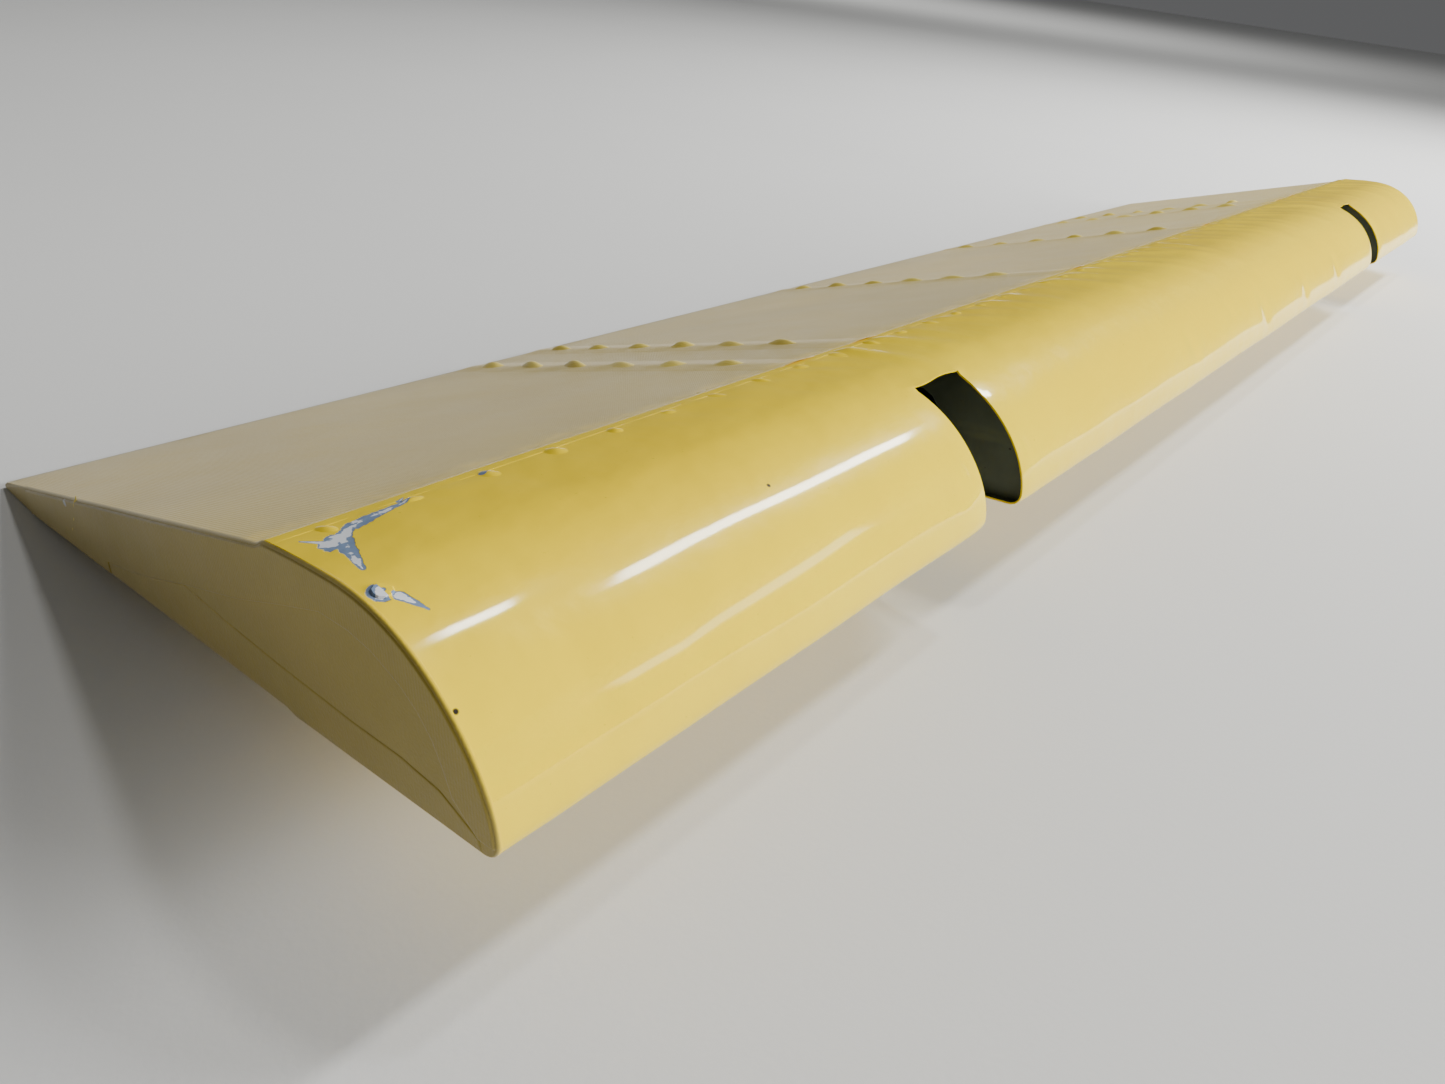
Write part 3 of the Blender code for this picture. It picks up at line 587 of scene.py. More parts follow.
def shop_primer(colours):
    """Chromate primer brushed thinly over pressed aluminium: matt grey green, cloudy, with the metal
    showing faintly through and dust settled on it."""
    made, tree, place = new_material("chromate_primer")
    patch, grime, sand = (
        add(tree, NOISE, {"Vector": place, "Scale": per_mm(size), "Detail": detail})
        for size, detail in ((24, 5), (3, 2), (1.5, 3))
    )
    cloudy = add(tree, RANGE, (patch, 0.3, 0.72))
    tones = {0: cloudy, 6: shade(colours.primer, 0.6), 7: shade(colours.primer, 1.15)}
    base = add(tree, MIX, tones, **OF_COLOURS)
    spread = add(tree, VECTOR, (place, (1, 0.2, 1)), operation="MULTIPLY")
    brush = add(tree, NOISE, {"Vector": spread, "Scale": per_mm(9), "Detail": 3})
    thin = add(tree, RANGE, (brush, 0.6, 0.8, 0, 0.5))
    base = add(tree, MIX, {0: thin, 6: base, 7: linear("#7a7a55")}, **OF_COLOURS)
    spots = add(tree, RANGE, (grime, 0.74, 0.8))
    base = add(tree, MIX, {0: spots, 6: base, 7: linear("#2c2a22")}, **OF_COLOURS)
    close_material(
        tree, Base_Color=base, Specular_IOR_Level=0.4,
        Roughness=add(tree, RANGE, (patch, 0.3, 0.7, 0.45, 0.68)),
        Normal=add(tree, BUMP, {"Height": sand, "Distance": 0.00006}),
    )
    return made


def worn_metal(name, base, roughness, grain, size, stretch, spots):
    """A bare or plated metal: its grain runs the way it was worked, and spots of another tone show
    where it was handled. grain is the depth of that grain in metres."""
    made, tree, place = new_material(name)
    spread = add(tree, VECTOR, (place, stretch), operation="MULTIPLY")
    feeds = {"Vector": spread, "Scale": per_mm(size), "Detail": 4, "Roughness": 0.7}
    lines = add(tree, NOISE, feeds)
    tone = add(tree, MIX, {0: lines, 6: shade(base, 0.82), 7: shade(base, 1.12)}, **OF_COLOURS)
    cloudy = add(tree, NOISE, {"Vector": place, "Scale": per_mm(11), "Detail": 4})
    worn = add(tree, RANGE, (cloudy, 0.5, 0.75, 0, 0.6))
    tone = add(tree, MIX, {0: worn, 6: tone, 7: spots}, **OF_COLOURS)
    close_material(
        tree, Base_Color=tone, Metallic=1.0,
        Roughness=add(tree, RANGE, (cloudy, 0.3, 0.7, roughness * 0.75, roughness * 1.35)),
        Normal=add(tree, BUMP, {"Height": lines, "Distance": grain}),
    )
    return made


def studio_paper(colours):
    """Matt background paper: an even pale sheet with the faintest cloudiness."""
    made, tree, place = new_material("background_paper")
    tone = add(tree, NOISE, {"Vector": place, "Scale": per_mm(400), "Detail": 3})
    tones = {0: tone, 6: shade(colours.floor, 0.97), 7: shade(colours.floor, 1.02)}
    fibre = add(tree, NOISE, {"Vector": place, "Scale": per_mm(2.5), "Detail": 3})
    close_material(
        tree, Base_Color=add(tree, MIX, tones, **OF_COLOURS), Roughness=0.85,
        Specular_IOR_Level=0.25, Normal=add(tree, BUMP, {"Height": fibre, "Distance": 0.00005}),
    )
    return made


# Tone of the dope and depth of the weave in metres: the cover, the tape on it, the cloth of an end, darkened
# to paint the shade that the end stands in, and the dope that stands thick over a stitch, lightened to paint
# the highlight on the stitches
CLOTHS = {
    # The end cloth's tone of 0.72 is painted shade, not a darker dope.
    "doped_cotton": (1.0, 0.00010), "doped_tape": (1.06, 0.00006), "doped_end": (0.72, 0.00002),
    # The thick dope is lightened by half again: thick dope, and a painted highlight on the stitches.
    "thick_dope": (1.5, 0.00003),
}
# Base colour, roughness, depth of the grain, its size in millimetres, how it runs, and colour of the spots
METALS = {
    # Rolled sheet: a satin, slightly streaky grey that shines along the roll.
    "rolled_aluminium": ("aluminium", 0.34, 0.00002, 1.2, (0.08, 1, 1), "#9a9c9c"),
    # Zinc on milled steel: dull silver with a yellowish bloom in patches.
    "zinc_plated_steel": ("zinc", 0.38, 0.00002, 0.8, (1, 1, 0.2), "#9a8f62"),
    # Ground and lapped bearing steel: bright, with hair-fine rings round the bore.
    "bearing_steel": ("steel", 0.16, 0.000008, 0.5, (1, 0.3, 0.3), "#8e9094"),
    # Sintered bronze: warm brown metal, slightly porous and oily.
    "sintered_bronze": ("bronze", 0.30, 0.00002, 0.4, (1, 1, 1), "#6d5230"),
}


def finish(name):
    """A material of this aileron by name, made when it's first asked for."""
    colours = bpy.context.scene.aileron_colours
    if name in bpy.data.materials:
        return bpy.data.materials[name]
    if name in METALS:
        base, *work, spots = METALS[name]
        return worn_metal(name, getattr(colours, base), *work, linear(spots))
    if name in CLOTHS:
        return doped_cloth(colours, name, *CLOTHS[name])
    if name == "gloss_enamel":
        return gloss_enamel(colours, Profile(nose_line(bpy.context.scene.aileron_shape)))
    return {"chromate_primer": shop_primer, "background_paper": studio_paper}[name](colours)


# ---------------------------------------------------------------- operators

GRID, FINE_GRID, ROUND_GRID = 0.005, 0.002, 0.0024  # of the nose: along it, by the slots and round it
SLOT_EDGE = 0.012  # the metal beside a slot that bends with its edge
SEAM_CALM, END_CALM = 0.012, 0.02  # the metal by a seam and by an end, which has no waves
SLOT_REACH, DIP_FADE = 0.01, 0.0055  # how far the sunk metal of a slot goes past it, and beside it
FLARE, FLARE_FADE, FLARE_SIDE = 0.0006, 0.004, 0.008  # metal turned up over a slot: height, length, sides
# Creases: length, half width at the seam, how fast they widen, and over what they rise and fade
CREASE_LONG, CREASE_HALF, CREASE_SPREAD, CREASE_RISE, CREASE_FADE = 0.06, 0.0038, 0.07, 0.006, 0.028
KNOCK_SLANT = 0.35
# The upper edge of a slot was filed by eye: how far round the metal moves with it, its bow and its slope
FILED, FILED_BOW, FILED_SLOPE = 0.006, 0.0007, 0.0005
# Slow waves of the nose metal: length along the span, length round the nose, phase and share
WAVES = ((0.085, 0.05, 3.1, 1.0), (0.035, 0.03, 8.7, 0.5))
# Knocks on the front of the nose: x, height v, half length across the span, half height, depth
KNOCKS = [
    (0.196, 0.0321, 0.0022, 0.0040, 0.00045), (0.2205, 0.0267, 0.0018, 0.0045, 0.00050),
    (0.2135, 0.0180, 0.0030, 0.0030, 0.00035), (0.2700, 0.0237, 0.0022, 0.0040, 0.00040),
    (0.4800, 0.0238, 0.0045, 0.0060, 0.00090), (0.6240, 0.0185, 0.0055, 0.0085, 0.00130),
    (0.7300, 0.0155, 0.0055, 0.0080, 0.00120), (0.5560, 0.0300, 0.0050, 0.0050, 0.00040),
    (0.8300, 0.0200, 0.0060, 0.0085, 0.00090), (0.0640, 0.0290, 0.0060, 0.0050, 0.00016),
]


class BuildNose(bpy.types.Operator):
    """The enamelled nose shell: one bent sheet with two slots, the horn's slit, and small dents"""

    bl_idname = "aileron.build_nose"
    bl_label = "Nose shell"

    def execute(self, context):
        shape = context.scene.aileron_shape
        sewing = context.scene.aileron_sewing
        profile = Profile(nose_line(shape))
        half = shape.slot_width / 2
        slot_edges = [edge for middle in SLOTS for edge in (middle - half, middle + half)]
        slit = [SPAN / 2 - shape.slit_half, SPAN / 2 + shape.slit_half]
        around = [edge + step for edge in slot_edges for step in (-SLOT_EDGE, SLOT_EDGE)]
        x_marks = sorted([SHELL_START, SPAN - SHELL_START, *slot_edges, *slit, *around])
        columns = []
        for start, end in zip(x_marks, x_marks[1:]):
            near = any(abs((start + end) / 2 - edge) < 0.02 for edge in slot_edges)
            columns += stops([start, end], FINE_GRID if near else GRID)[:-1]
        columns.append(x_marks[-1])
        slot_start, slot_end = profile.where(shape.slot_top, True), profile.where(shape.slot_bottom, False)
        slit_start = profile.where(HORN_BOX[0].y - 0.0009, False)
        seams = [profile.where(shape.seam_u - 0.0001, upper) for upper in (True, False)]
        cuts = (slot_start, slit_start, slot_end)
        places = stops(sorted([*profile.sums[:3], *seams, *cuts, *profile.sums[-4:]]), ROUND_GRID)

        chance = random.Random(sewing.seed)
        # A soft crease runs forward from most rivets, stronger beyond the inboard slot.
        creases = [
            (x, chance.uniform(0.3, 1.0) * (1.0 if x > SLOTS[0] else 0.3), chance.uniform(0.1, 1.2))
            for x in stops([SHELL_START, SPAN - SHELL_START], sewing.rivet_pitch)
        ]

        def relief(x, distance, point, upper):
            """Height of the skin over its true line."""
            if not seams[0] <= distance <= seams[1]:
                return 0
            inside = smooth((distance - seams[0]) / SEAM_CALM) * smooth((seams[1] - distance) / SEAM_CALM)
            ends = smooth((x - SHELL_START) / END_CALM) * smooth((SPAN - SHELL_START - x) / END_CALM)
            slow = sum(
                share * noise.noise(Vector((x / along, distance / around, phase)))
                for along, around, phase, share in WAVES
            )
            height = shape.canning * slow * inside * ends
            if slot_start - SLOT_REACH < distance < slot_end + SLOT_REACH:
                near = min(abs(x - edge) for edge in slot_edges)
                band = smooth((distance - slot_start + SLOT_REACH) / (2 * SLOT_REACH))
                height -= shape.slot_dip * band * math.exp(-near / DIP_FADE)
            behind = slot_start - distance
            beside = min(abs(x - middle) for middle in SLOTS) - half
            if 0 <= behind < 2 * SLOT_REACH and beside < SLOT_EDGE:
                height += FLARE * math.exp(-behind / FLARE_FADE) * (1 - smooth(beside / FLARE_SIDE))
            if upper:
                back = distance - seams[0]
                for start, strength, slant in creases:
                    off = x - start - slant * back
                    if abs(off) < 0.02 and back < CREASE_LONG:
                        width = CREASE_HALF + CREASE_SPREAD * back
                        fade = smooth(back / CREASE_RISE) * math.exp(-back / CREASE_FADE)
                        height += shape.crease * strength * fade * bell(off / width)
            if point.x < shape.crest_u:
                for at_x, at_v, wide, tall, deep in KNOCKS:
                    if abs(x - at_x) < 3 * wide and upper:
                        skew = KNOCK_SLANT * (point.y - at_v)
                        height -= deep * bell((x - at_x + skew) / wide, (point.y - at_v) / tall)
            return height

        under_lip = profile.where(0.0001, True) + 0.004
        rows = []
        for distance in places:
            point, out = profile.at(distance)
            row = []
            for x in columns:
                place = point + out * relief(x, distance, point, distance < under_lip)
                edge = 0
                for middle in SLOTS:
                    if abs(x - middle) <= half + 1e-6 and abs(distance - slot_start) < FILED:
                        share = (x - middle) / half
                        wander = FILED_BOW * math.sin(3.4 * share + 0.5) - FILED_SLOPE * share
                        edge = wander * (1 - abs(distance - slot_start) / FILED)
                row.append((x, place.x + edge, place.y))
            rows.append(row)

        def keep(i, j):
            middle = (columns[j] + columns[j + 1]) / 2
            along = (places[i] + places[i + 1]) / 2
            in_slot = any(abs(middle - slot) < half for slot in SLOTS) and slot_start < along < slot_end
            in_slit = slit[0] < middle < slit[1] and slit_start < along < seams[1]
            return not in_slot and not in_slit

        bm = bmesh.new()
        add_grid(bm, rows, Vector((0, 0, 1)), keep)
        shell = add_piece("nose_shell", bm, finish("gloss_enamel"), finish("chromate_primer"))
        thicken(shell, shape.skin, 0.00022, inner=1)
        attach(shell, BODY)
        # The rivets of the end ribs are flush under the paint, all but the one that is bare in a chip.
        rivets = [name for name in frame["nodes"] if name.startswith("end_rivet")]
        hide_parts("nose_skin", *[name for name in rivets if name != BARE_RIVET])
        return {"FINISHED"}


ENAMELLED = 0.0022  # of the cloth behind the seam


def cover_rows(shape, upper, columns):
    """Rows of points of one cover, from the seam to the tail. The upper one wraps round the tail."""
    tail = CHORD - shape.tail_half
    marks = [shape.seam_u - shape.seam_lap, shape.seam_u + shape.step_run, SPAR_TIP, STRIP_U, tail]
    places = stops(marks[:2], 0.0008) + stops(marks[1:], 0.006)[1:]
    rows = [[cover_point(shape, x, u, upper) for x in columns] for u in places]
    if upper:
        for step in range(1, 9):
            angle = math.pi / 2 - math.pi * step / 8
            u, v = tail + shape.tail_half * math.cos(angle), shape.tail_half * math.sin(angle)
            rows.append([Vector((x, u, v)) for x in columns])
    return rows


class BuildCovers(bpy.types.Operator):
    """The doped cloth over and under the ribs, sagging in each bay and rounded over the tail"""

    bl_idname = "aileron.build_covers"
    bl_label = "Cloth covers"

    def execute(self, context):
        shape = context.scene.aileron_shape
        columns = stops([SHELL_START, *RIBS, SPAN - SHELL_START], 0.008)
        for upper, name in ((True, "upper_cover"), (False, "lower_cover")):
            bm = bmesh.new()
            add_grid(bm, cover_rows(shape, upper, columns), Vector((0, 0, 1 if upper else -1)))
            # The lap on the metal is enamelled with the nose.
            for face in bm.faces:
                face.material_index = int(face.calc_center_median().y < shape.seam_u + ENAMELLED)
            cover = add_piece(name, bm, finish("doped_cotton"), finish("gloss_enamel"))
            thicken(cover, shape.cloth, 0.00012)
            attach(cover, BODY)
            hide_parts("upper_fabric" if upper else "lower_fabric")
        return {"FINISHED"}


class BuildTapes(bpy.types.Operator):
    """A tape over each rib, above and below, with feathered edges"""

    bl_idname = "aileron.build_tapes"
    bl_label = "Rib tapes"

    def execute(self, context):
        shape = context.scene.aileron_shape
        sewing = context.scene.aileron_sewing
        half = sewing.tape_width / 2
        shares = (0.2, 0.45, 0.7, 0.96, 1)
        across = [half * share for share in (*[-share for share in reversed(shares)], 0, *shares)]
        for upper, name in ((True, "upper_rib_tapes"), (False, "lower_rib_tapes")):
            # The aileron stands on its tail, so a lower tape stops short of it.
            end = CHORD - (2 if upper else 10) * shape.tail_half
            marks = [shape.seam_u, shape.seam_u + 0.008, end]
            places = stops(marks[:2], 0.001) + stops(marks[1:], 0.005)[1:]
            bm = bmesh.new()
            for middle in RIBS:
                rows = []
                for u in places:
                    row = []
                    for off in across:
                        ridge = 1 - smooth(abs(off) / half)
                        lift = sewing.tape_thick * (0.1 + 2.4 * ridge)
                        if abs(off) == half:
                            lift = -0.00005
                        row.append(cover_point(shape, middle + off, u, upper, lift))
                    rows.append(row)
                add_grid(bm, rows, Vector((0, 0, 1 if upper else -1)))
            tapes = add_piece(name, bm, finish("doped_tape"))
            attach(tapes, BODY)
        return {"FINISHED"}


# Edges of the two laps on an end, from the underside near the tail to the lip, as (u, v): the lap of the
# upper cloth ends on the first, and the lap of the lower cloth reaches up to the second.
UPPER_LAP = [
    (0.2050, 0.0020), (0.1700, 0.0092), (0.1430, 0.0170), (0.1070, 0.0262), (0.0830, 0.0340),
    (0.0625, 0.0402), (0.0500, 0.0402), (0.0410, 0.0385), (0.0310, 0.0342), (0.0252, 0.0300),
    (0.0205, 0.0245), (0.0175, 0.0180), (0.0150, 0.0110), (0.0065, 0.0042),
]
LOWER_LAP = [(0.1430, 0.0170), (0.1195, 0.0146), (0.0900, 0.0129), (0.0560, 0.0118), (0.0350, 0.0120),
             (0.0200, 0.0104), (0.0065, 0.0042)]


def shrink(ring, inset):
    """A closed ring of points moved inwards; it runs with its inside on the left."""
    clean = [point for index, point in enumerate(ring) if (point - ring[index - 1]).length > 1e-5]
    moved = []
    for index, point in enumerate(clean):
        ahead = clean[(index + 1) % len(clean)] - point
        behind = point - clean[index - 1]
        first = Vector((behind.y, -behind.x)).normalized()
        second = Vector((ahead.y, -ahead.x)).normalized()
        out = (first + second).normalized()
        moved.append(point - out * inset / max(0.6, out.dot(first)))
    return moved


def end_outline(shape, inset):
    """The section's outline, inset, from the tail over the top, round the nose and back."""
    tail = CHORD - shape.tail_half
    places = [STRIP_U, *[shape.seam_u + shape.step_run * share for share in (1, 0.75, 0.5, 0.25)]]
    line = [(tail, shape.tail_half)]
    line += [(u, cloth_line(shape, u, True)) for u in places]
    line += nose_line(shape)[3:-3]
    line += [(u, cloth_line(shape, u, False)) for u in reversed(places)]
    line.append((tail, -shape.tail_half))
    for step in range(1, 8):
        angle = -math.pi / 2 + math.pi * step / 8
        line.append((tail + shape.tail_half * math.cos(angle), shape.tail_half * math.sin(angle)))
    return shrink([Vector(point) for point in line], inset)


def add_rings(bm, rings, side):
    """Walls between rings of verts, and a face in the last one, all facing away from the span."""
    for outer, inner in zip(rings, rings[1:]):
        count = len(outer)
        for index in range(count):
            after = (index + 1) % count
            bm.faces.new((outer[index], outer[after], inner[after], inner[index]))
    face = bm.faces.new(rings[-1])
    bmesh.ops.recalc_face_normals(bm, faces=bm.faces)
    bm.normal_update()
    if (face.normal.x > 0) == (side == "inboard"):
        bmesh.ops.reverse_faces(bm, faces=bm.faces)
    bmesh.ops.triangulate(bm, faces=[face])


class BuildEnds(bpy.types.Operator):
    """The cloth over each end, turned over its corner, and the two laps glued on it"""

    bl_idname = "aileron.build_ends"
    bl_label = "Cloth ends"

    def execute(self, context):
        shape = context.scene.aileron_shape
        sewing = context.scene.aileron_sewing
        turns = [math.pi / 2 * step / 5 for step in range(6)]
        for side in SIDES:
            def across(x):
                return x if side == "inboard" else SPAN - x

            bm = bmesh.new()
            rings = []
            levels = [(1 - math.sin(turn), 0.55 * (1 - math.cos(turn))) for turn in turns] + [(0, 0.75)]
            for rise, inset in levels:
                outline = end_outline(shape, shape.corner * inset - 0.00006)
                rings.append([bm.verts.new((across(shape.corner * rise), *point)) for point in outline])
            add_rings(bm, rings, side)
            # The end's cloth takes the darkened dope: painted shade.
            cover = add_piece(f"end_cover_{side}", bm, finish("doped_end"))
            thicken(cover, shape.cloth, 0.0001)
            upper, lower = self.add_laps(shape, sewing, side, across)
            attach(cover, BODY)
            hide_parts(f"end_fabric_{side}")
        return {"FINISHED"}

    def add_laps(self, shape, sewing, side, across):
        """The upper and the lower lap, as thin cloth on the end cover."""
        rim = end_outline(shape, shape.corner * 0.6)
        lip = min(range(len(rim)), key=lambda i: (rim[i] - Vector((0.0016, 0.0018))).length)
        made = []
        upper_edge, lower_edge = ([Vector(point) for point in edge] for edge in (UPPER_LAP, LOWER_LAP))
        u = upper_edge[0].x
        bottom = Vector((u, cloth_line(shape, u, False) + shape.corner * 0.6))
        # The laps stop before the lip and the tail, where the end is thinner than their edges.
        thin = CHORD - 0.010
        above = [point for point in rim[:lip] if point.y > 0.0040 and point.x < thin]
        under = [point for point in rim[lip:] if 0.0050 < point.x < thin]
        upper = [*above, *reversed(upper_edge), bottom, *[p for p in under if p.x > bottom.x]]
        lower = [*lower_edge, *[p for p in under if p.x < bottom.x], bottom, *upper_edge[:2]]
        for name, outline, thick in (("upper", upper, 1.0), ("lower", lower, 0.5)):
            bm = bmesh.new()
            depth = sewing.lap_thick * thick
            rings = [
                [bm.verts.new((across(-depth * rise), *point)) for point in shrink(outline, inset)]
                for rise, inset in ((0, 0.0), (0.8, 0.0002), (1, 0.0005), (1, 0.0009))
            ]
            add_rings(bm, rings, side)
            # The laps take the same darkened dope: painted shade.
            lap = add_piece(f"{name}_lap_{side}", bm, finish("doped_end"))
            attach(lap, BODY)
            made.append(lap)
        return made


def lump_tree(material):
    """Soft round-topped lumps set along a line, each turned along it and a little uneven."""
    tree = bpy.data.node_groups.new("Lumps of " + material.name, "GeometryNodeTree")
    sockets = tree.interface
    sockets.new_socket("Geometry", in_out="INPUT", socket_type="NodeSocketGeometry")
    for label in ("Pitch", "Length", "Width", "Height", "Unevenness"):
        sockets.new_socket(label, in_out="INPUT", socket_type="NodeSocketFloat")
    sockets.new_socket("Facing", in_out="INPUT", socket_type="NodeSocketVector")
    sockets.new_socket("Seed", in_out="INPUT", socket_type="NodeSocketInt")
    sockets.new_socket("Geometry", in_out="OUTPUT", socket_type="NodeSocketGeometry")
    given = add(tree, "NodeGroupInput").node.outputs

    feeds = {"Vertices": 12, "Side Segments": 4, "Radius Top": 0.0, "Radius Bottom": 1.0, "Depth": 1.0}
    cone = add(tree, "GeometryNodeMeshCone", feeds)
    place = add(tree, "GeometryNodeInputPosition")
    flat = add(tree, VECTOR, (place, (1, 1, 0)), operation="MULTIPLY")
    radius = add(tree, VECTOR, (flat,), out=1, operation="LENGTH")
    turn = add(tree, MATH, (radius, math.pi), operation="MULTIPLY")
    # The foot of a lump lies a third of its height under the surface, so that it rises softly.
    swell = add(tree, MATH, (turn,), operation="COSINE")
    dome = add(tree, MATH, (swell, 0.5, 0.17), operation="MULTIPLY_ADD")
    domed = add(tree, "ShaderNodeCombineXYZ", {"Z": dome})
    shaped = add(tree, VECTOR, (flat, domed), operation="ADD")
    lump = add(tree, "GeometryNodeSetPosition", {"Geometry": cone, "Position": shaped})

    line = add(tree, "GeometryNodeMeshToCurve", {"Mesh": given["Geometry"]})
    feeds = {"Curve": line, "Length": given["Pitch"]}
    points = add(tree, "GeometryNodeResampleCurve", feeds, mode="LENGTH")
    tangent = add(tree, "GeometryNodeInputTangent")
    spread = {"Min": (-1, -1, -1), "Max": (1, 1, 1), "Seed": given["Seed"]}
    astray = add(tree, "FunctionNodeRandomValue", spread, data_type="FLOAT_VECTOR")
    drift = add(tree, VECTOR, {0: astray, "Scale": given["Unevenness"]}, operation="SCALE")
    way = add(tree, VECTOR, (tangent, drift), operation="ADD")
    stand = add(tree, "FunctionNodeAlignRotationToVector", {"Vector": given["Facing"]}, axis="Z")
    feeds = {"Rotation": stand, "Vector": way}
    turned = add(tree, "FunctionNodeAlignRotationToVector", feeds, axis="X", pivot_axis="Z")
    feeds = {
        "X": add(tree, MATH, (given["Length"], 0.5), operation="MULTIPLY"),
        "Y": add(tree, MATH, (given["Width"], 0.5), operation="MULTIPLY"),
        "Z": given["Height"],
    }
    size = add(tree, "ShaderNodeCombineXYZ", feeds)
    growth = add(tree, VECTOR, (drift, (1, 1, 1)), operation="ADD")
    scale = add(tree, VECTOR, (size, growth), operation="MULTIPLY")
    feeds = {"Points": points, "Instance": lump, "Rotation": turned, "Scale": scale}
    lumps = add(tree, "GeometryNodeInstanceOnPoints", feeds)
    real = add(tree, "GeometryNodeRealizeInstances", {"Geometry": lumps})
    rounded = add(tree, "GeometryNodeSetShadeSmooth", {"Geometry": real})
    painted = add(tree, "GeometryNodeSetMaterial", {"Geometry": rounded, "Material": material})
    add(tree, "NodeGroupOutput", (painted,))
    return tree


def grow_lumps(name, lines, facing, material, **sizes):
    """Lumps along lines given in the section, as one plain mesh on the aileron."""
    bm = bmesh.new()
    for line in lines:
        verts = [bm.verts.new(PLACE @ point) for point in line]
        for pair in zip(verts, verts[1:]):
            bm.edges.new(pair)
    mesh = bpy.data.meshes.new(name + "_line")
    bm.to_mesh(mesh)
    bm.free()
    mesh.materials.append(material)
    path = link(name + "_line", mesh)
    tree = bpy.data.node_groups.get("Lumps of " + material.name) or lump_tree(material)
    values = {**sizes, "Facing": PLACE.to_3x3() @ Vector(facing)}
    modifier = path.modifiers.new("lumps", "NODES")
    modifier.node_group = tree
    for item in tree.interface.items_tree:
        if item.in_out == "INPUT" and item.name in values:
            modifier[item.identifier] = values[item.name]
    graph = bpy.context.evaluated_depsgraph_get()
    grown = bpy.data.meshes.new_from_object(path.evaluated_get(graph))
    bpy.data.objects.remove(path, do_unlink=True)
    if not grown.polygons:
        raise RuntimeError(f"{name} came out empty")
    grown.name = name
    grown.materials.clear()
    grown.materials.append(material)
    for face in grown.polygons:
        face.material_index = 0
    thing = link(name, grown)
    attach(thing, BODY)
    return thing


class BuildStitching(bpy.types.Operator):
    """A lump under the tape at every stitch that ties the cloth to a rib"""

    bl_idname = "aileron.build_stitching"
    bl_label = "Rib stitching"

    def execute(self, context):
        shape = context.scene.aileron_shape
        sewing = context.scene.aileron_sewing
        for name, last in (("upper_stitches", 0.93), ("lower_stitches", 0.82)):
            upper = name.startswith("upper")
            lines = []
            for number, x in enumerate(RIBS):
                start = 0.40 * CHORD + 0.25 * sewing.stitch_pitch * (number % 3)
                lines.append([
                    cover_point(shape, x, u, upper, 2.4 * sewing.tape_thick)
                    for u in stops([start, last * CHORD], 0.02)
                ])
            run = lines[0][-1] - lines[0][0]
            facing = Vector((0, -run.z, run.y)) * (1 if upper else -1)
            # The lumps take the lightened dope, whose extra brightness is a painted highlight.
            lumps = grow_lumps(
                name, lines, facing, finish("thick_dope"), Pitch=sewing.stitch_pitch,
                Length=sewing.stitch_length, Width=sewing.stitch_width, Height=sewing.stitch_height,
                Unevenness=0.28, Seed=sewing.seed,
            )
        return {"FINISHED"}


class BuildPaintRun(bpy.types.Operator):
    """A run of dope that dried on the inboard end, near the tail"""

    bl_idname = "aileron.build_paint_run"
    bl_label = "Paint run"

    def execute(self, context):
        line = [Vector((0, 0.2245, 0.0170)), Vector((0, 0.2285, 0.0105)), Vector((0, 0.2330, 0.0052))]
        for name, points, wide in (("run_top", line[:2], 0.0018), ("run_foot", line[1:], 0.0026)):
            # The run takes the same lightened dope, with its painted highlight.
            run = grow_lumps(
                name, [points], (-1, 0, 0), finish("thick_dope"), Pitch=1.0,
                Length=(points[1] - points[0]).length * 1.3, Width=wide, Height=0.0009,
                Unevenness=0.05, Seed=context.scene.aileron_sewing.seed,
            )
        return {"FINISHED"}


class BuildSeamRivets(bpy.types.Operator):
    """A row of rivets along each seam, filled over with paint so that only soft lumps show"""

    bl_idname = "aileron.build_seam_rivets"
    bl_label = "Seam rivets"

    def execute(self, context):
        shape = context.scene.aileron_shape
        sewing = context.scene.aileron_sewing
        profile = Profile(nose_line(shape))
        u = shape.seam_u - 0.0052
        for upper, name in ((True, "upper_seam_rivets"), (False, "lower_seam_rivets")):
            lines = [[profile.nose_point(x, u, upper) for x in (0.014, SPAN - 0.014)]]
            _, out = profile.at(profile.where(u, upper))
            lumps = grow_lumps(
                name, lines, (0, out.x, out.y), finish("gloss_enamel"), Pitch=sewing.rivet_pitch,
                Length=sewing.rivet_width, Width=sewing.rivet_width, Height=sewing.rivet_height,
                Unevenness=0.36, Seed=sewing.seed + 1,
            )
        return {"FINISHED"}


FITTINGS = {
    "chromate_primer": ("spar", "trailing_edge_strip", "nose_rib", "rear_rib", "end_rib"),
    "zinc_plated_steel": ("hinge_bracket", "bracket_", "horn_bolt", "horn_nut_plate", "control_horn"),
    "bearing_steel": ("hinge_race", "hinge_ball"),
    "sintered_bronze": ("horn_bush",),
    "rolled_aluminium": ("spar_end_angle",),
    "gloss_enamel": ("end_rivet",),
}


class FinishFittings(bpy.types.Operator):
    """The finish of each rib, bracket, bearing, bolt and rivet that shows in a slot, chip or at the horn"""

    bl_idname = "aileron.finish_fittings"
    bl_label = "Fittings"

    def execute(self, context):
        for name, node in frame["nodes"].items():
            found = [
                (len(start), material)
                for material, starts in FITTINGS.items()
                for start in starts
                if name.startswith(start)
            ]
            if found:
                node.data.materials.clear()
                node.data.materials.append(finish(max(found)[1]))
        return {"FINISHED"}


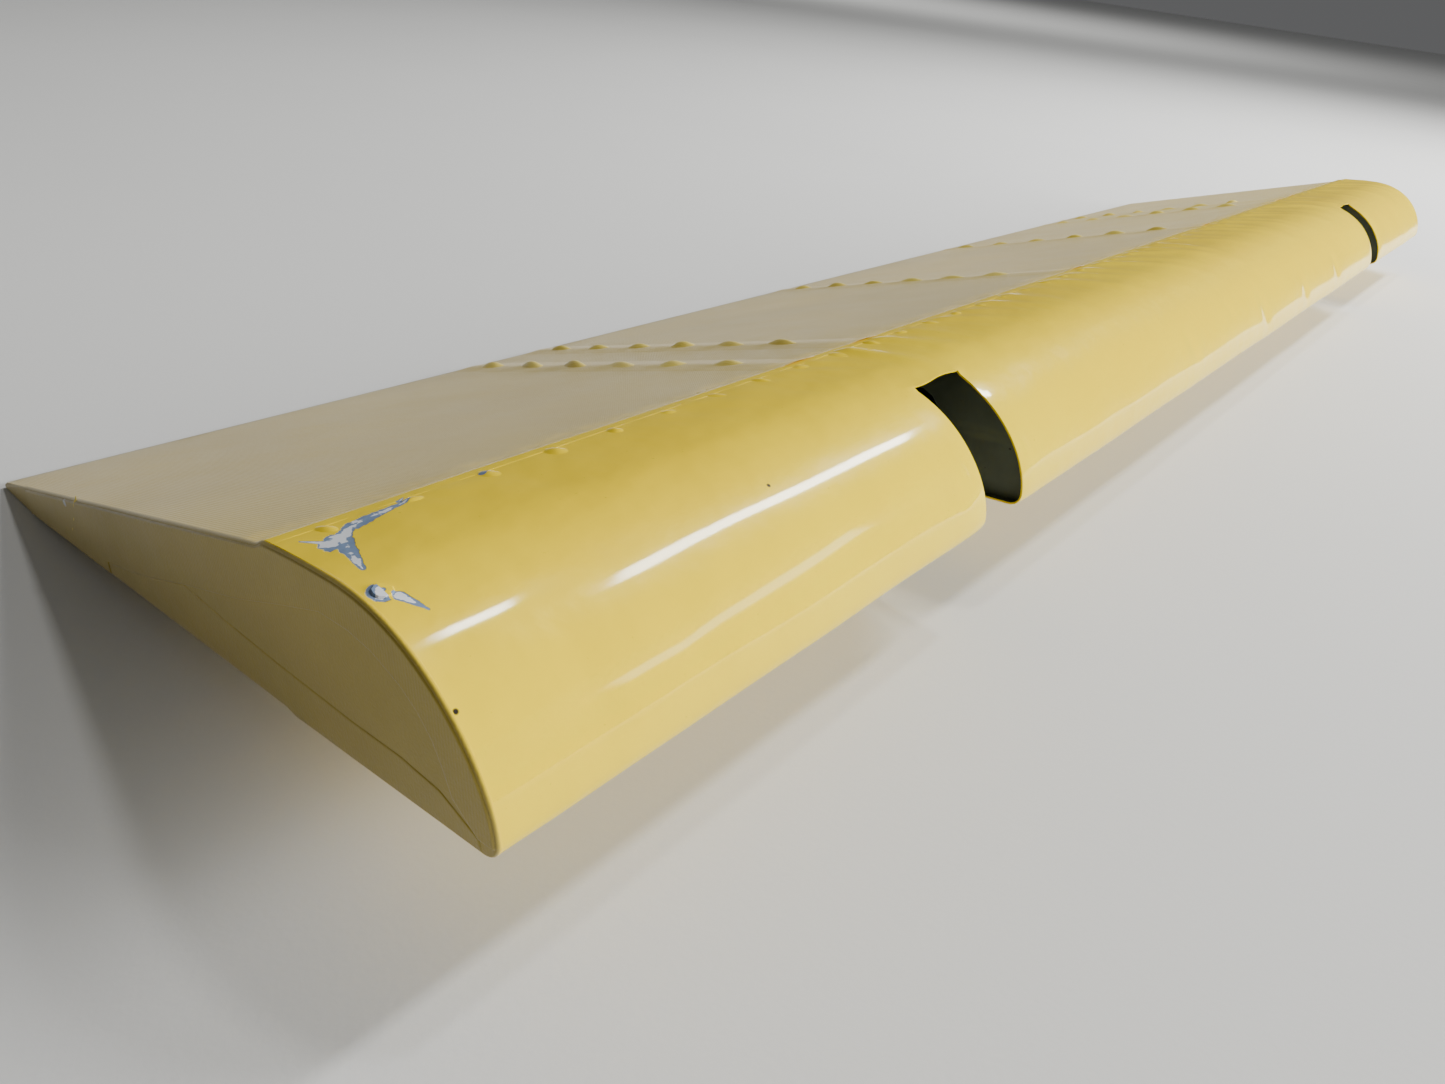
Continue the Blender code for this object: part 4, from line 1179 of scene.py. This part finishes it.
class BuildStudio(bpy.types.Operator):
    """A pale paper floor, soft lamps and the camera"""

    bl_idname = "aileron.build_studio"
    bl_label = "Studio"

    def execute(self, context):
        scene = context.scene
        studio = scene.aileron_studio
        bm = bmesh.new()
        bmesh.ops.create_grid(bm, x_segments=2, y_segments=2, size=30)
        mesh = bpy.data.meshes.new("floor")
        bm.to_mesh(mesh)
        bm.free()
        mesh.materials.append(finish("background_paper"))
        floor = link("floor", mesh)

        world = bpy.data.worlds.new("room")
        world.use_nodes = True
        back = world.node_tree.nodes["Background"]
        back.inputs["Color"].default_value = (*linear("#f2f3f5"), 1)
        back.inputs["Strength"].default_value = studio.sky
        scene.world = world

        # Each lamp: where it hangs, what it faces, its length, its width and its power.
        lamps = {
            "ceiling_strip": ((2.0, -0.52, 2.2), (2.0, -0.52, 0.0), 1.7, 0.24, 125),
            "ceiling_panel": ((0.60, -0.02, 2.2), (0.60, -0.02, 0.0), 0.26, 0.16, 16),
            "side_box": ((1.35, -1.95, 0.95), (-0.3, -0.1, 0.05), 0.9, 0.2, 8),
            "fill_box": ((1.7, -2.4, 1.0), (0.1, 0.0, 0.03), 2.2, 1.2, 280),
            "back_box": ((6.0, 4.5, 4.0), (10.0, 7.0, 0.0), 6.0, 6.0, 260),
        }
        for name, (place, aim, long_side, short_side, power) in lamps.items():
            light = bpy.data.lights.new(name, "AREA")
            light.shape = "RECTANGLE"
            light.size = long_side
            light.size_y = short_side
            light.energy = power * studio.light
            lamp = link(name, light)
            lamp.location = place
            lamp.rotation_euler = (Vector(aim) - Vector(place)).to_track_quat("-Z", "Y").to_euler()
            # The fill is for the cloth and the paint only: it would wash over the gloss of the nose.
            lamp.visible_glossy = name != "fill_box"

        camera_data = bpy.data.cameras.new("camera")
        camera_data.sensor_width = 36
        camera_data.lens = studio.lens
        camera_data.clip_start = 0.01
        camera = link("camera", camera_data)
        camera.location = PLACE @ Vector(studio.camera_place)
        camera.rotation_euler = Euler(studio.camera_turn)
        scene.camera = camera
        return {"FINISHED"}


STEPS = (
    BuildNose, BuildTapes, BuildCovers, BuildEnds, BuildStitching, BuildPaintRun, BuildSeamRivets,
    FinishFittings, BuildStudio,
)


class AileronPanel(bpy.types.Panel):
    """Every step of the build, and the sizes and colours that it reads"""

    bl_idname = "VIEW3D_PT_aileron"
    bl_label = "Aileron"
    bl_space_type = "VIEW_3D"
    bl_region_type = "UI"
    bl_category = "Aileron"

    def draw(self, context):
        for step in STEPS:
            self.layout.operator(step.bl_idname)
        for name in GROUPS:
            group = getattr(context.scene, name)
            box = self.layout.box()
            for key in group.__annotations__:
                box.prop(group, key)


GROUPS = {
    "aileron_shape": AileronShape,
    "aileron_sewing": AileronSewing,
    "aileron_colours": AileronColours,
    "aileron_studio": AileronStudio,
}
CLASSES = (*GROUPS.values(), *STEPS, AileronPanel)


def register():
    for item in CLASSES:
        bpy.utils.register_class(item)
    for name, group in GROUPS.items():
        setattr(bpy.types.Scene, name, PointerProperty(type=group))


def unregister():
    for name in GROUPS:
        delattr(bpy.types.Scene, name)
    for item in reversed(CLASSES):
        bpy.utils.unregister_class(item)


def main():
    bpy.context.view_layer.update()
    register()
    for step in STEPS:
        group, name = step.bl_idname.split(".")
        getattr(getattr(bpy.ops, group), name)()


if __name__ == "__main__":
    main()
